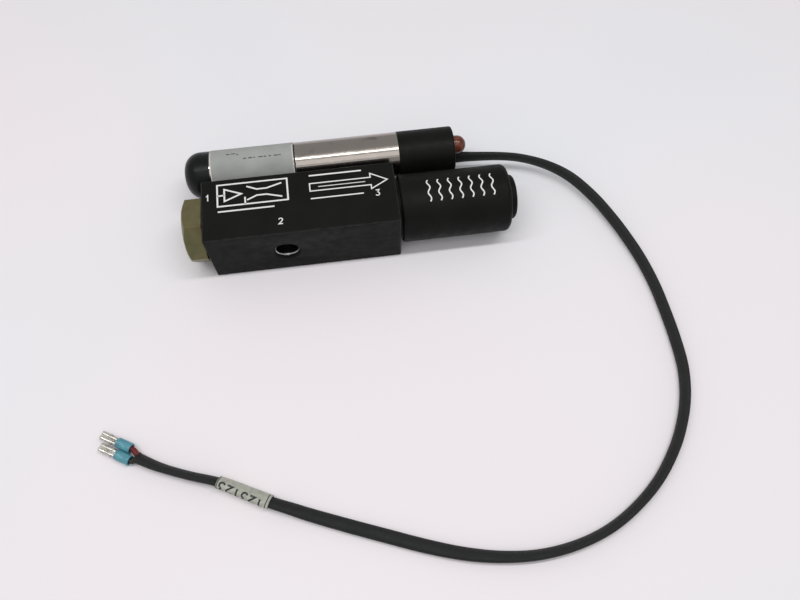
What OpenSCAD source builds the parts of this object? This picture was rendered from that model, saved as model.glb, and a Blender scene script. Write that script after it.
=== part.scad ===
// Block-type vacuum ejector with an exhaust silencer and a vacuum switch.
// Compressed air enters the hex fitting at -X, leaves the nozzle at high speed, draws air in
// through the vacuum port in the front face (-Y) and leaves through the silencer at +X.
// A cylindrical vacuum switch stands off the rear face on its sensing nipple, and its
// two-core lead lies on the bench beside the pump, with a crimped terminal on each core.
//
// Frame: X runs along the air path, Z is up, the origin is the middle of the body's base.

/* [Pump body] */
// Length of the body along the air path
body_l = 69.85; // [60:0.05:90]
// Width of the body, front face to rear face
body_w = 25.4; // [25.4:0.1:32]
// Height of the body
body_h = 25.4; // [25.4:0.1:32]
// Break on the body's edges
edge_break = 0.5; // [0.2:0.1:1]
// Distance of the vacuum port from the inlet face
port_from_inlet = 28; // [26:0.5:30]
// Tapped size of the vacuum port
port_tap_d = 8.6; // [8:0.1:10]
// Depth of the vacuum port's full thread
port_tap_l = 7; // [6:0.1:7.1]
// Countersink across the mouth of each port
port_mouth_d = 10.4; // [10.2:0.1:12]
// Bore of the mixing chamber between the nozzle and the diffuser
chamber_d = 11; // [10:0.5:11]

/* [Air inlet] */
// Size of the inlet hex across its flats
hex_af = 22; // [20:0.1:22]
// Length of the inlet hex
hex_l = 7.6; // [5:0.1:12]
// Turn of the hex about the air path, in degrees
hex_turn = 25; // [-30:1:30]
// Bevel angle on the outer end of the hex, in degrees
hex_bevel = 30; // [20:1:35]
// Thread size of the inlet fitting in the body
inlet_thread_d = 14; // [13:0.1:15]
// Length of the inlet fitting's shank in the body
inlet_thread_l = 10; // [9:0.5:12]
// Tapped size of the compressed air port
air_tap_d = 8.6; // [8:0.1:9.5]
// Depth of the compressed air port's full thread
air_tap_l = 8; // [6:0.5:8.5]

/* [Nozzle and diffuser] */
// Outer size of the nozzle where it is seated in the inlet fitting
nozzle_d = 8; // [7.5:0.1:9]
// Throat of the nozzle
nozzle_throat_d = 1.6; // [1:0.1:2]
// Size of the nozzle's tip
nozzle_tip_d = 3.6; // [3:0.1:4.5]
// Distance that the nozzle's tip stands past the middle of the vacuum port
nozzle_reach = 1; // [-2:0.5:2]
// Outer size of the diffuser
diffuser_d = 13; // [12:0.1:14]
// Throat of the diffuser
diffuser_throat_d = 3.2; // [2.5:0.1:4]
// Mouth of the diffuser, at both of its ends
diffuser_mouth_d = 8; // [6:0.1:8.4]
// Gap between the vacuum port's middle and the diffuser's seat
diffuser_from_port = 5.5; // [5:0.5:8]

/* [Silencer] */
// Outer size of the silencer shell
silencer_d = 25.1; // [22:0.1:25.4]
// Length of the silencer shell
silencer_l = 40.6; // [30:0.1:60]
// Wall of the silencer shell
silencer_wall = 1.6; // [1.2:0.1:2]
// Radius on the silencer's outer shoulders
silencer_round = 2; // [1:0.1:2.5]
// Size of the neck collar between the body and the silencer
neck_d = 22.6; // [20:0.1:24]
// Width of the neck collar
neck_l = 1; // [0.8:0.1:4]
// Thread size of the neck in the body
neck_thread_d = 16; // [15:0.1:17]
// Length of the neck's thread in the body
neck_thread_l = 9; // [7:0.5:10]
// Outer size of the end cap's outlet
outlet_d = 16.6; // [14:0.1:18]
// Distance that the outlet stands out of the shell
outlet_l = 2.7; // [2:0.1:8]
// Bore of the straight exhaust passage
exhaust_d = 8.4; // [8:0.1:9]
// Wall of the perforated core tube
core_wall = 0.8; // [0.6:0.1:1]
// Size of the holes in the core tube
core_hole_d = 2; // [1.5:0.1:2.2]
// Number of holes around the core tube, an even number
core_holes_around = 6; // [4:2:8]
// Number of rings of holes along the core tube
core_hole_rings = 7; // [4:1:8]

/* [Vacuum switch] */
// Outer size of the switch's steel sleeve
switch_d = 17.7; // [16:0.1:20]
// Distance from the body's rear face to the sleeve
switch_gap = 2.8; // [2.5:0.1:5]
// Distance that the front cap's dome stands past the body's inlet face
switch_front = 8; // [6:0.1:12]
// Length of the front cap outside the sleeve
cap_l = 10.2; // [9:0.1:16]
// Size of the flat on the front cap's dome
cap_flat_d = 4; // [2:0.1:8]
// Length of the steel sleeve
sleeve_l = 71.1; // [64:0.1:90]
// Wall of the steel sleeve
sleeve_wall = 0.8; // [0.5:0.1:1]
// Outer size of the black rear housing
rear_d = 17.9; // [17.8:0.1:20]
// Length of the rear housing outside the sleeve
rear_l = 21.5; // [15:0.1:30]
// Wall of the rear housing
rear_wall = 1.2; // [0.8:0.1:1.2]
// Length of the label on the sleeve
label_l = 31; // [20:0.5:40]
// Margin between the label and the front cap
label_margin = 0.4; // [0.2:0.1:3]
// Thickness of the label
label_t = 0.12; // [0.1:0.01:0.2]
// Size of the sensing nipple
nipple_d = 5; // [4:0.1:5.5]
// Bore of the sensing nipple
nipple_bore_d = 2.2; // [1.5:0.1:2.5]
// Length of the saddle gasket along the switch
gasket_l = 18; // [12:0.5:26]
// Height of the saddle gasket
gasket_h = 7.5; // [7:0.5:9]
// Size of the status lamp
lamp_d = 7; // [6:0.1:7.2]
// Distance that the status lamp stands out of the housing
lamp_l = 5; // [3.8:0.1:6]
// Height of the lamp above the middle of the switch
lamp_rise = 2.9; // [2.7:0.1:3.4]
// Drop of the cable below the middle of the switch
cable_drop = 4.7; // [4.3:0.1:4.7]
// Offset of the cable towards the pump where it leaves the switch
cable_offset = 0.6; // [0:0.1:0.6]
// Turn of the cable's wide side from level where it leaves the switch, in degrees
cable_turn = 66; // [60:1:80]

/* [Cable and terminals] */
// Width of the flat two-core cable
cable_w = 4.6; // [4.2:0.1:4.6]
// Thickness of the flat two-core cable
cable_t = 2.7; // [2.5:0.1:2.7]
// Wall of the marker sleeve on the cable
marker_wall = 0.35; // [0.2:0.05:0.4]
// Outer size of each core's wire
wire_d = 1.9; // [1.4:0.1:1.9]
// Outer size of the crimp sleeves
crimp_d = 3.6; // [3.4:0.1:3.8]
// Length of the crimp sleeves
crimp_l = 5.4; // [4:0.1:8]
// Width of the terminals
terminal_w = 2.8; // [2.6:0.1:3.2]
// Length of the terminals outside the crimp sleeves
terminal_l = 6.3; // [3:0.1:7]
// Thickness of the terminal strip
terminal_t = 0.4; // [0.3:0.05:0.5]

/* [Hidden] */
$fn = 96;

// Clearances: threads and pressed fits, seals in their grooves, and soft pieces.
fit_gap = 0.05;
seal_gap = 0.03;
loose_gap = 0.15;

axis_z = body_h / 2;
inlet_x = -body_l / 2;
outlet_x = body_l / 2;
port_x = inlet_x + port_from_inlet;

// Seals
inlet_ring_t = 1.5;
nozzle_ring_t = 1.2;
diffuser_ring_t = 1.4;

// Inlet fitting
hex_washer_d = hex_af * 0.94;
hex_washer_l = 0.5;
inlet_ring_r = inlet_thread_d / 2 + seal_gap + inlet_ring_t / 2;
ring_seat_d = 2 * inlet_ring_r + inlet_ring_t + 2 * seal_gap;
ring_seat_l = inlet_ring_t + seal_gap;
shank_l = ring_seat_l + inlet_thread_l;
nozzle_seat_l = 5;
air_passage_d = 5.6;

// Nozzle: its head fills the seat in the shank's end, and its nose stands in the chamber.
nozzle_head_x = inlet_x + shank_l - nozzle_seat_l;
nozzle_tip_x = port_x + nozzle_reach;
nozzle_nose_l = nozzle_tip_x - (inlet_x + shank_l);
nozzle_entry_d = 5;
nozzle_exit_d = nozzle_throat_d * 1.3;
nozzle_ring_r = nozzle_d / 2 - nozzle_ring_t / 2 - seal_gap;

// Diffuser
diffuser_x = port_x + diffuser_from_port;
diffuser_l = outlet_x - neck_thread_l - diffuser_x;
diffuser_ring_r = diffuser_d / 2 - diffuser_ring_t / 2 - seal_gap;
diffuser_ring_inset = 4;

// Silencer
shell_x = outlet_x + neck_l;
shell_end_x = shell_x + silencer_l;
shell_bore_d = silencer_d - 2 * silencer_wall;
shell_lip = 3;
neck_spigot_l = 4;
cap_flange_l = 3;
core_d = exhaust_d + 2 * core_wall;
core_seat_l = 2;
core_x = shell_x + neck_spigot_l - core_seat_l;
core_end_x = shell_end_x - shell_lip - cap_flange_l + core_seat_l;
liner_x = shell_x + neck_spigot_l;
liner_end_x = shell_end_x - shell_lip - cap_flange_l;
outlet_round = 1.2;
outlet_flare_d = exhaust_d + 3;

// Vacuum switch
switch_y = body_w / 2 + switch_gap + switch_d / 2;
switch_x = inlet_x - switch_front;
sleeve_x = switch_x + cap_l;
sleeve_bore_d = switch_d - 2 * sleeve_wall;
rear_x = sleeve_x + sleeve_l;
rear_end_x = rear_x + rear_l;
spigot_l = 5;
spigot_wall = 1.2;
cap_round = (switch_d - cap_flat_d) / 2;
rear_bore_d = rear_d - 2 * rear_wall;
potting_l = 5;
potting_inset = 0.4;
potting_x = rear_end_x - potting_inset - potting_l;
label_x = sleeve_x + label_margin;
label_gap_angle = 40;
carrier_l = 15;
carrier_d = sleeve_bore_d - 2 * fit_gap;
carrier_flat = 1.2;
nipple_in_body = body_w / 2 - chamber_d / 2 - 1;
nipple_in_carrier = 3.6;
sensor_side = 7;
sensor_h = 3.2;
sensor_neck_d = 2.6;
board_w = 12;
board_t = 1.6;
board_l = 44;
board_z = -carrier_flat - board_t;
lamp_flange = 0.9;

// Cable outlet in the rear end
grommet_wall = 0.5;
grommet_l = 3.6;
grommet_out = 1.6;
cable_y = switch_y - cable_offset;
cable_z = axis_z - cable_drop;
cable_start_x = rear_end_x - potting_inset - 2;

// Route of the cable: x, y, z and the turn of its wide side from level, in degrees. It leaves
// the switch level, bends down to the bench and lies there, turning over as it goes.
route = [
    [cable_start_x, cable_y, cable_z, cable_turn],
    [rear_end_x + 3, cable_y, cable_z, cable_turn],
    [rear_end_x + 8, cable_y - 0.2, cable_z - 0.25, 82],
    [78.9, 22.5, 7.5, 95],
    [87.9, 20.8, 6.9, 96],
    [97.3, 17, 6, 87],
    [105.6, 10.9, 5.1, 73],
    [112.5, 1.9, 4.2, 68],
    [117.6, -7.7, 3.5, 67],
    [121.7, -17.7, 2.95, 66],
    [124.9, -27.8, 2.5, 65],
    [127, -38.5, 2.25, 64],
    [128, -49.8, 2.15, 62],
    [128.4, -60.4, 2.15, 62],
    [128, -71.5, 2.15, 63],
    [125.7, -81.6, 2.2, 64],
    [121.9, -90.5, 2.2, 64],
    [116.6, -99.1, 2.15, 63],
    [108.7, -108.2, 2.2, 64],
    [99.2, -115.7, 2.2, 65],
    [88.6, -121.5, 2.15, 63],
    [77.1, -125, 2.15, 60],
    [65, -126.4, 2.05, 53],
    [53, -125.6, 1.85, 41],
    [41, -123.1, 1.6, 26],
    [29, -119.2, 1.45, 14],
    [17, -114.5, 1.45, 11],
    [5, -109.7, 1.45, 14],
    [-7, -104.7, 1.55, 22],
    [-12.8, -102.1, 1.95, 30],
    [-19.7, -99, 2.3, 38],
    [-28.2, -94.5, 2.45, 48],
    [-36.2, -90.4, 2.6, 58],
    [-45.4, -87.1, 2.4, 63],
    [-53, -84, 2.15, 62],
    [-58, -81.6, 2.05, 53],
    [-63.3, -78.5, 1.9, 43]
];
marker_first = 30;
marker_last = 32;
cable_sides = 8;

// Terminals: both lie level on the bench and point the same way, away from the cable's end.
jacket_end = route[len(route) - 1];
terminal_turn = 149;
terminal_pitch = crimp_d + 0.05;
terminal_stagger = 1.8;
terminal_mid = [-67.6, -75.9];
crimp_z = crimp_d / 2 + 0.02;
crimp_wall = 0.5;
shank_in_crimp = 1.6;
red_side = 1;
black_side = -1;

// ---------- shared shapes ----------

// Turns a solid of revolution made about Z so that it lies along the air path from x.
module along_x(x, y = 0, z = axis_z) {
    translate([x, y, z]) rotate([0, 90, 0]) children();
}

// A round rod from x to x + length on the air path, or on a parallel axis.
module rod(d, x, length, y = 0, z = axis_z) {
    along_x(x, y, z) cylinder(d = d, h = length);
}

// An O-ring of section t and mean radius r, lying across the air path at x.
module ring(r, t, x) {
    along_x(x) rotate_extrude() translate([r, 0]) circle(d = t, $fn = 32);
}

// A cone-ended bore: d1 at x and d2 at x + length.
module taper(d1, d2, x, length) {
    along_x(x) cylinder(d1 = d1, d2 = d2, h = length);
}

// ---------- pump ----------

// A bar with all of its edges broken at 45 degrees.
module broken_bar(l, w, h, c) {
    function section(a, b) = [
        [-a / 2 + c, -b / 2], [a / 2 - c, -b / 2], [a / 2, -b / 2 + c], [a / 2, b / 2 - c],
        [a / 2 - c, b / 2], [-a / 2 + c, b / 2], [-a / 2, b / 2 - c], [-a / 2, -b / 2 + c]
    ];
    intersection() {
        translate([0, 0, -h / 2]) linear_extrude(h) polygon(section(l, w));
        rotate([90, 0, 0]) translate([0, 0, -w / 2]) linear_extrude(w) polygon(section(l, h));
        rotate([90, 0, 90]) translate([0, 0, -l / 2]) linear_extrude(l) polygon(section(w, h));
    }
}

module pump_body() {
    mouth = (port_mouth_d - port_tap_d) / 2;
    color("#26272a") difference() {
        translate([0, 0, axis_z]) broken_bar(body_l, body_w, body_h, edge_break);
        // Stepped bore, from the inlet face to the outlet face
        rod(ring_seat_d, inlet_x - 1, ring_seat_l + 1);
        rod(inlet_thread_d, inlet_x, shank_l);
        rod(chamber_d, inlet_x + shank_l - 1, diffuser_x - inlet_x - shank_l + 2);
        rod(diffuser_d, diffuser_x, diffuser_l + 1);
        rod(neck_thread_d, outlet_x - neck_thread_l, neck_thread_l + 1);
        // Vacuum port in the front face: tapped to the chamber, with a countersunk mouth
        translate([port_x, -body_w / 2, axis_z]) rotate([-90, 0, 0]) {
            translate([0, 0, -1]) cylinder(d = port_tap_d, h = port_tap_l + 1);
            cylinder(d = port_tap_d - 1, h = body_w / 2);
            translate([0, 0, -mouth]) cylinder(d1 = port_mouth_d + 2 * mouth, d2 = port_tap_d, h = 2 * mouth);
        }
        // Sensing port in the rear face
        translate([port_x, 0, axis_z]) rotate([-90, 0, 0]) {
            cylinder(d = nipple_bore_d, h = body_w / 2);
            translate([0, 0, body_w / 2 - nipple_in_body]) cylinder(d = nipple_d, h = nipple_in_body + 1);
        }
    }
}

// The hex with its outer end bevelled, a washer face, and a shank that screws into the body.
module inlet_fitting() {
    bevel_cone_d = hex_washer_d + 2 * hex_l / tan(hex_bevel);
    color("#a39a5c") difference() {
        union() {
            intersection() {
                along_x(inlet_x - hex_l) rotate([0, 0, hex_turn])
                    cylinder(d = hex_af / cos(30), h = hex_l - hex_washer_l, $fn = 6);
                along_x(inlet_x - hex_l) cylinder(d1 = hex_washer_d, d2 = bevel_cone_d, h = hex_l);
            }
            rod(hex_washer_d, inlet_x - hex_l / 2, hex_l / 2);
            rod(inlet_thread_d - 2 * fit_gap, inlet_x - hex_l / 2, hex_l / 2 + shank_l);
        }
        rod(air_tap_d, inlet_x - hex_l - 1, air_tap_l + 1);
        taper(air_tap_d + 2.4, air_tap_d, inlet_x - hex_l - 0.2, 1.4);
        rod(air_passage_d, inlet_x - hex_l, hex_l + shank_l);
        rod(nozzle_d + 2 * fit_gap, nozzle_head_x, nozzle_seat_l + 1);
    }
}

module inlet_o_ring() {
    color("#1b1b1b") ring(inlet_ring_r, inlet_ring_t, inlet_x + ring_seat_l / 2);
}

// The head carries the seal, and the nose tapers to the tip. The bore narrows to the throat
// and opens a little again, so that the jet leaves faster than sound.
module air_nozzle() {
    throat_x = nozzle_tip_x - 4;
    color("#c9a95a") difference() {
        union() {
            rod(nozzle_d, nozzle_head_x, nozzle_seat_l);
            taper(nozzle_d - 1, nozzle_tip_d, nozzle_head_x + nozzle_seat_l, nozzle_nose_l);
        }
        taper(nozzle_entry_d, nozzle_throat_d, nozzle_head_x - 0.01, throat_x - nozzle_head_x);
        taper(nozzle_throat_d, nozzle_exit_d, throat_x - 0.1, nozzle_tip_x - throat_x + 0.2);
        nozzle_groove();
    }
}

module nozzle_groove() {
    width = nozzle_ring_t + 2 * seal_gap;
    floor_d = 2 * (nozzle_ring_r - nozzle_ring_t / 2 - seal_gap);
    difference() {
        rod(nozzle_d + 1, nozzle_head_x + nozzle_seat_l / 2 - width / 2, width);
        rod(floor_d, nozzle_head_x, nozzle_seat_l);
    }
}

module nozzle_o_ring() {
    color("#1b1b1b") ring(nozzle_ring_r, nozzle_ring_t, nozzle_head_x + nozzle_seat_l / 2);
}

diffuser_ring_places = [diffuser_x + diffuser_ring_inset, diffuser_x + diffuser_l - diffuser_ring_inset];

// The venturi tube: a bell mouth, a straight throat and a long widening outlet.
module diffuser() {
    bell_l = diffuser_l * 0.22;
    straight_l = diffuser_l * 0.2;
    groove_w = diffuser_ring_t + 2 * seal_gap;
    floor_d = 2 * (diffuser_ring_r - diffuser_ring_t / 2 - seal_gap);
    color("#d9d6cc") difference() {
        rod(diffuser_d - 2 * fit_gap, diffuser_x, diffuser_l);
        taper(diffuser_mouth_d, diffuser_throat_d, diffuser_x - 0.01, bell_l);
        rod(diffuser_throat_d, diffuser_x, diffuser_l);
        taper(diffuser_throat_d, diffuser_mouth_d, diffuser_x + bell_l + straight_l,
            diffuser_l - bell_l - straight_l + 0.01);
        for (x = diffuser_ring_places) difference() {
            rod(diffuser_d + 1, x - groove_w / 2, groove_w);
            rod(floor_d, x - groove_w, 2 * groove_w);
        }
    }
}

module diffuser_o_rings() {
    color("#1b1b1b") for (x = diffuser_ring_places) ring(diffuser_ring_r, diffuser_ring_t, x);
}

// ---------- silencer ----------

// Screws into the body, holds the diffuser on its seat and closes the shell's near end.
module silencer_neck() {
    color("#5b5d60") difference() {
        union() {
            rod(neck_thread_d - 2 * fit_gap, outlet_x - neck_thread_l, neck_thread_l + neck_l);
            rod(neck_d, outlet_x, neck_l);
            rod(shell_bore_d - 2 * fit_gap, shell_x, neck_spigot_l);
        }
        rod(exhaust_d, outlet_x - neck_thread_l - 1, neck_thread_l + neck_l + neck_spigot_l + 2);
        rod(core_d + 2 * fit_gap, core_x, core_seat_l + 1);
    }
}

// A tube with rounded shoulders, the far one larger. Its far end turns in and keeps the end cap.
module silencer_shell() {
    r = silencer_d / 2;
    color("#1d1e20") difference() {
        along_x(shell_x) rotate_extrude() difference() {
            square([r, silencer_l]);
            shoulder_cut(r, 0, silencer_round / 2, 1);
            shoulder_cut(r, silencer_l, silencer_round, -1);
        }
        rod(shell_bore_d, shell_x - 1, silencer_l - shell_lip + 1);
        rod(outlet_d + 2 * fit_gap, shell_x, silencer_l + 1);
    }
}

// The sliver of a square corner at radius r and height h that lies outside a quarter round.
module shoulder_cut(r, h, round, dir) {
    difference() {
        translate([r - round, dir > 0 ? h - 1 : h - round]) square([round + 1, round + 1]);
        translate([r - round, h + dir * round]) circle(r = round, $fn = 48);
    }
}

module silencer_core() {
    first = core_x + core_seat_l + core_hole_d;
    last = core_end_x - core_seat_l - core_hole_d;
    color("#8e9196") difference() {
        rod(core_d, core_x, core_end_x - core_x);
        rod(exhaust_d, core_x - 1, core_end_x - core_x + 2);
        for (i = [0 : core_hole_rings - 1], k = [0 : core_holes_around / 2 - 1])
            translate([first + i * (last - first) / (core_hole_rings - 1), 0, axis_z])
                rotate([(k + (i % 2) / 2) * 360 / core_holes_around, 0, 0])
                    cylinder(d = core_hole_d, h = core_d + 1, center = true, $fn = 24);
    }
}

// A felt sleeve that fills the space between the core tube and the shell.
module silencer_liner() {
    color("#b9b4a4") difference() {
        rod(shell_bore_d - 2 * loose_gap, liner_x, liner_end_x - liner_x);
        rod(core_d + 2 * loose_gap, liner_x - 1, liner_end_x - liner_x + 2);
    }
}

module silencer_end_cap() {
    flange_x = shell_end_x - shell_lip - cap_flange_l;
    r = outlet_d / 2;
    stub_l = shell_lip + outlet_l;
    color("#232426") difference() {
        union() {
            rod(shell_bore_d - 2 * fit_gap, flange_x, cap_flange_l);
            along_x(flange_x + cap_flange_l) rotate_extrude() difference() {
                square([r, stub_l]);
                shoulder_cut(r, stub_l, outlet_round, -1);
            }
        }
        rod(exhaust_d, flange_x - 1, cap_flange_l + stub_l + 2);
        rod(core_d + 2 * fit_gap, flange_x - 1, core_seat_l + 1);
        taper(exhaust_d, outlet_flare_d, shell_end_x + outlet_l - 1.5, 1.51);
    }
}

// ---------- vacuum switch ----------

// A rubber saddle: flat against the body's rear face and hollow against the round sleeve.
module saddle_gasket() {
    bite = 2;
    color("#202123") difference() {
        translate([port_x - gasket_l / 2, body_w / 2, axis_z - gasket_h / 2])
            cube([gasket_l, switch_gap + bite, gasket_h]);
        rod(switch_d + 2 * fit_gap, port_x - gasket_l, 2 * gasket_l, switch_y);
        translate([port_x, 0, axis_z]) rotate([-90, 0, 0]) cylinder(d = nipple_d + 2 * fit_gap, h = body_w);
    }
}

// The tube that carries the vacuum from the mixing chamber to the switch, and holds the switch.
module sensing_nipple() {
    from_y = body_w / 2 - nipple_in_body;
    to_y = switch_y - carrier_d / 2 + nipple_in_carrier;
    color("#b9bcc0") translate([port_x, from_y, axis_z]) rotate([-90, 0, 0]) difference() {
        cylinder(d = nipple_d - 2 * fit_gap, h = to_y - from_y);
        translate([0, 0, -1]) cylinder(d = nipple_bore_d, h = to_y - from_y + 2);
    }
}

// A moulded cap: a dome with a small flat, and a hollow spigot pushed into the sleeve.
module switch_front_cap() {
    r = switch_d / 2;
    spigot_d = sleeve_bore_d - 2 * fit_gap;
    color("#222326") difference() {
        union() {
            along_x(switch_x, switch_y) rotate_extrude() difference() {
                square([r, cap_l]);
                shoulder_cut(r, 0, cap_round, 1);
            }
            rod(spigot_d, sleeve_x - 0.5, spigot_l + 0.5, switch_y);
        }
        rod(spigot_d - 2 * spigot_wall, switch_x + cap_round, cap_l + spigot_l, switch_y);
    }
}

// A stainless tube with one hole in its side for the sensing nipple.
module switch_sleeve() {
    color("#a59d93") difference() {
        rod(switch_d, sleeve_x, sleeve_l, switch_y);
        rod(sleeve_bore_d, sleeve_x - 1, sleeve_l + 2, switch_y);
        translate([port_x, 0, axis_z]) rotate([-90, 0, 0]) cylinder(d = nipple_d + 2 * loose_gap, h = switch_y);
    }
}

// A printed foil wrapped round the sleeve, cut away round the gasket. Its seam is underneath.
module switch_label() {
    r = switch_d / 2;
    seam = 2 * r * sin(label_gap_angle / 2);
    color("#96989a") difference() {
        rod(switch_d + 2 * label_t, label_x, label_l, switch_y);
        rod(switch_d, label_x - 1, label_l + 2, switch_y);
        translate([label_x - 1, switch_y - seam / 2, axis_z - 2 * r]) cube([label_l + 2, seam, 2 * r]);
        translate([port_x - gasket_l / 2 - 0.5, switch_y - 2 * r, axis_z - gasket_h / 2 - 0.5])
            cube([gasket_l + 1, 2 * r, gasket_h + 1]);
    }
}

// The black plastic end of the switch, with a spigot in the sleeve and a well for the potting.
module switch_rear_housing() {
    spigot_d = sleeve_bore_d - 2 * fit_gap;
    color("#1c1d1f") difference() {
        union() {
            along_x(rear_x, switch_y) rotate_extrude() difference() {
                square([rear_d / 2, rear_l]);
                shoulder_cut(rear_d / 2, rear_l, 0.8, -1);
            }
            rod(spigot_d, rear_x - spigot_l, spigot_l + 0.5, switch_y);
        }
        rod(spigot_d - 2 * spigot_wall, rear_x - spigot_l - 1, rear_l + spigot_l - potting_l, switch_y);
        rod(rear_bore_d, potting_x, potting_l + 1, switch_y);
    }
}

// A moulded plug in the sleeve. It takes the nipple from the side, leads the vacuum up to the
// pressure sensor on its flat, and carries the circuit board.
module sensor_carrier() {
    color("#3b3d40") difference() {
        rod(carrier_d, port_x - carrier_l / 2, carrier_l, switch_y);
        translate([port_x - carrier_l, switch_y - switch_d / 2, axis_z + carrier_flat])
            cube([2 * carrier_l, switch_d, switch_d]);
        translate([port_x - carrier_l, switch_y - board_w / 2 - fit_gap, axis_z + board_z - fit_gap])
            cube([carrier_l * 1.1, board_w + 2 * fit_gap, board_t + 2 * fit_gap]);
        translate([port_x, 0, axis_z]) rotate([-90, 0, 0])
            cylinder(d = nipple_d, h = switch_y - carrier_d / 2 + nipple_in_carrier);
        translate([port_x, 0, axis_z]) rotate([-90, 0, 0]) cylinder(d = nipple_bore_d, h = switch_y);
        translate([port_x, switch_y, axis_z]) cylinder(d = sensor_neck_d, h = switch_d);
    }
}

// The square sensor can, whose neck stands in the carrier's vertical bore.
module pressure_sensor() {
    color("#d8d8d2") translate([port_x, switch_y, axis_z + carrier_flat]) {
        translate([-sensor_side / 2, -sensor_side / 2, 0]) cube([sensor_side, sensor_side, sensor_h]);
        translate([0, 0, -0.6]) cylinder(d = sensor_neck_d - 2 * fit_gap, h = 1);
    }
}

// The board lies in the carrier's slot and runs back to the lamp and the cable.
module circuit_board() {
    color("#2e6b43") translate([port_x + carrier_l / 2 + 1, switch_y - board_w / 2, axis_z + board_z])
        cube([board_l, board_w, board_t]);
}

// A domed lens with a flange that the potting holds.
module status_lamp() {
    stem = lamp_l - lamp_d / 2;
    color("#b4551e") along_x(rear_end_x - potting_inset, switch_y, axis_z + lamp_rise) {
        rotate_extrude() union() {
            square([lamp_d / 2, stem + potting_inset]);
            intersection() {
                translate([0, stem + potting_inset]) circle(d = lamp_d, $fn = 64);
                square([lamp_d, lamp_d * 2]);
            }
        }
        translate([0, 0, -lamp_flange]) cylinder(d = lamp_d - 0.8, h = lamp_flange + 0.1);
    }
}

// Epoxy that closes the rear housing round the lamp and the cable grommet.
module potting_plug() {
    color("#2b2b2c") difference() {
        rod(rear_bore_d - 2 * fit_gap, potting_x, potting_l, switch_y);
        rod(lamp_d - 0.8 + 2 * fit_gap, rear_end_x - potting_inset - lamp_flange, lamp_flange + 1,
            switch_y, axis_z + lamp_rise);
        along_x(potting_x - 1, cable_y, cable_z)
            linear_extrude(potting_l + 2) grommet_outline(grommet_wall + fit_gap);
    }
}

// The flat cable's section grown by a margin, turned as the cable leaves the switch.
module grommet_outline(margin) {
    h = cable_t + 2 * margin;
    w = cable_w + 2 * margin;
    rotate([0, 0, cable_turn]) {
        square([h, w - h], center = true);
        for (s = [-1, 1]) translate([0, s * (w - h) / 2]) circle(d = h, $fn = 48);
    }
}

module cable_grommet() {
    color("#1a1a1a") along_x(rear_end_x - potting_inset - (grommet_l - grommet_out), cable_y, cable_z)
        difference() {
            linear_extrude(grommet_l) grommet_outline(grommet_wall);
            translate([0, 0, -1]) linear_extrude(grommet_l + 2) grommet_outline(loose_gap);
        }
}

// ---------- cable ----------

// Unit heading of the route at point i, taken between its neighbours.
function place(i) = [route[i][0], route[i][1], route[i][2]];
function heading(i) =
    let (a = place(max(i - 1, 0)), b = place(min(i + 1, len(route) - 1)), d = b - a) d / norm(d);

// Points of a smooth curve (Catmull-Rom) between route points i and i + 1 at t from 0 to 1.
function spline(i, t) =
    let (n = len(route) - 1,
         p0 = route[max(i - 1, 0)], p1 = route[i], p2 = route[min(i + 1, n)], p3 = route[min(i + 2, n)])
    0.5 * (2 * p1 + (p2 - p0) * t + (2 * p0 - 5 * p1 + 4 * p2 - p3) * t * t
        + (3 * p1 - p0 - 3 * p2 + p3) * t * t * t);

// Two rings for each stretch of the route, from point a to point b.
function samples(a, b) = concat([for (i = [a : b - 1], t = [0, 0.5]) spline(i, t)], [spline(b - 1, 1)]);

// One ring of the oval section with semi-axes w and h, square to the curve at sample k.
function oval_ring(pts, k, w, h) =
    let (a = pts[max(k - 1, 0)], b = pts[min(k + 1, len(pts) - 1)],
         d = [b[0] - a[0], b[1] - a[1], b[2] - a[2]], u = d / norm(d),
         side = cross([0, 0, 1], u) / norm(cross([0, 0, 1], u)), up = cross(u, side),
         turn = pts[k][3], c = [pts[k][0], pts[k][1], pts[k][2]])
    [for (j = [0 : cable_sides - 1])
        let (q = 360 * (j + 0.5) / cable_sides, x = w * cos(q), y = h * sin(q))
        c + side * (x * cos(turn) - y * sin(turn)) + up * (x * sin(turn) + y * cos(turn))];

// A closed tube through the samples, with flat ends.
module oval_tube(pts, w, h) {
    n = len(pts);
    s = cable_sides;
    rings = [for (k = [0 : n - 1]) each oval_ring(pts, k, w, h)];
    walls = [for (k = [0 : n - 2], j = [0 : s - 1])
        [k * s + j, (k + 1) * s + j, (k + 1) * s + (j + 1) % s, k * s + (j + 1) % s]];
    ends = [[for (j = [0 : s - 1]) j], [for (j = [s - 1 : -1 : 0]) (n - 1) * s + j]];
    polyhedron(points = rings, faces = concat(walls, ends), convexity = 6);
}

module switch_cable() {
    color("#2a2c2d") oval_tube(samples(0, len(route) - 1), cable_w / 2, cable_t / 2);
}

// A shrunk sleeve round the cable for the wire's mark: an outer and an inner skin of rings, and
// a flat rim between them at each end.
module marker_sleeve() {
    pts = samples(marker_first, marker_last);
    n = len(pts);
    s = cable_sides;
    skins = [for (grow = [loose_gap + marker_wall, loose_gap], k = [0 : n - 1])
        each oval_ring(pts, k, cable_w / 2 + grow, cable_t / 2 + grow)];
    function at(skin, k, j) = (skin * n + k) * s + j % s;
    outside = [for (k = [0 : n - 2], j = [0 : s - 1])
        [at(0, k, j), at(0, k + 1, j), at(0, k + 1, j + 1), at(0, k, j + 1)]];
    inside = [for (k = [0 : n - 2], j = [0 : s - 1])
        [at(1, k, j + 1), at(1, k + 1, j + 1), at(1, k + 1, j), at(1, k, j)]];
    rims = [for (j = [0 : s - 1]) each [
        [at(0, 0, j), at(0, 0, j + 1), at(1, 0, j + 1), at(1, 0, j)],
        [at(0, n - 1, j + 1), at(0, n - 1, j), at(1, n - 1, j), at(1, n - 1, j + 1)]]];
    color("#e4e6ea") polyhedron(points = skins, faces = concat(outside, inside, rims), convexity = 6);
}

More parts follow.
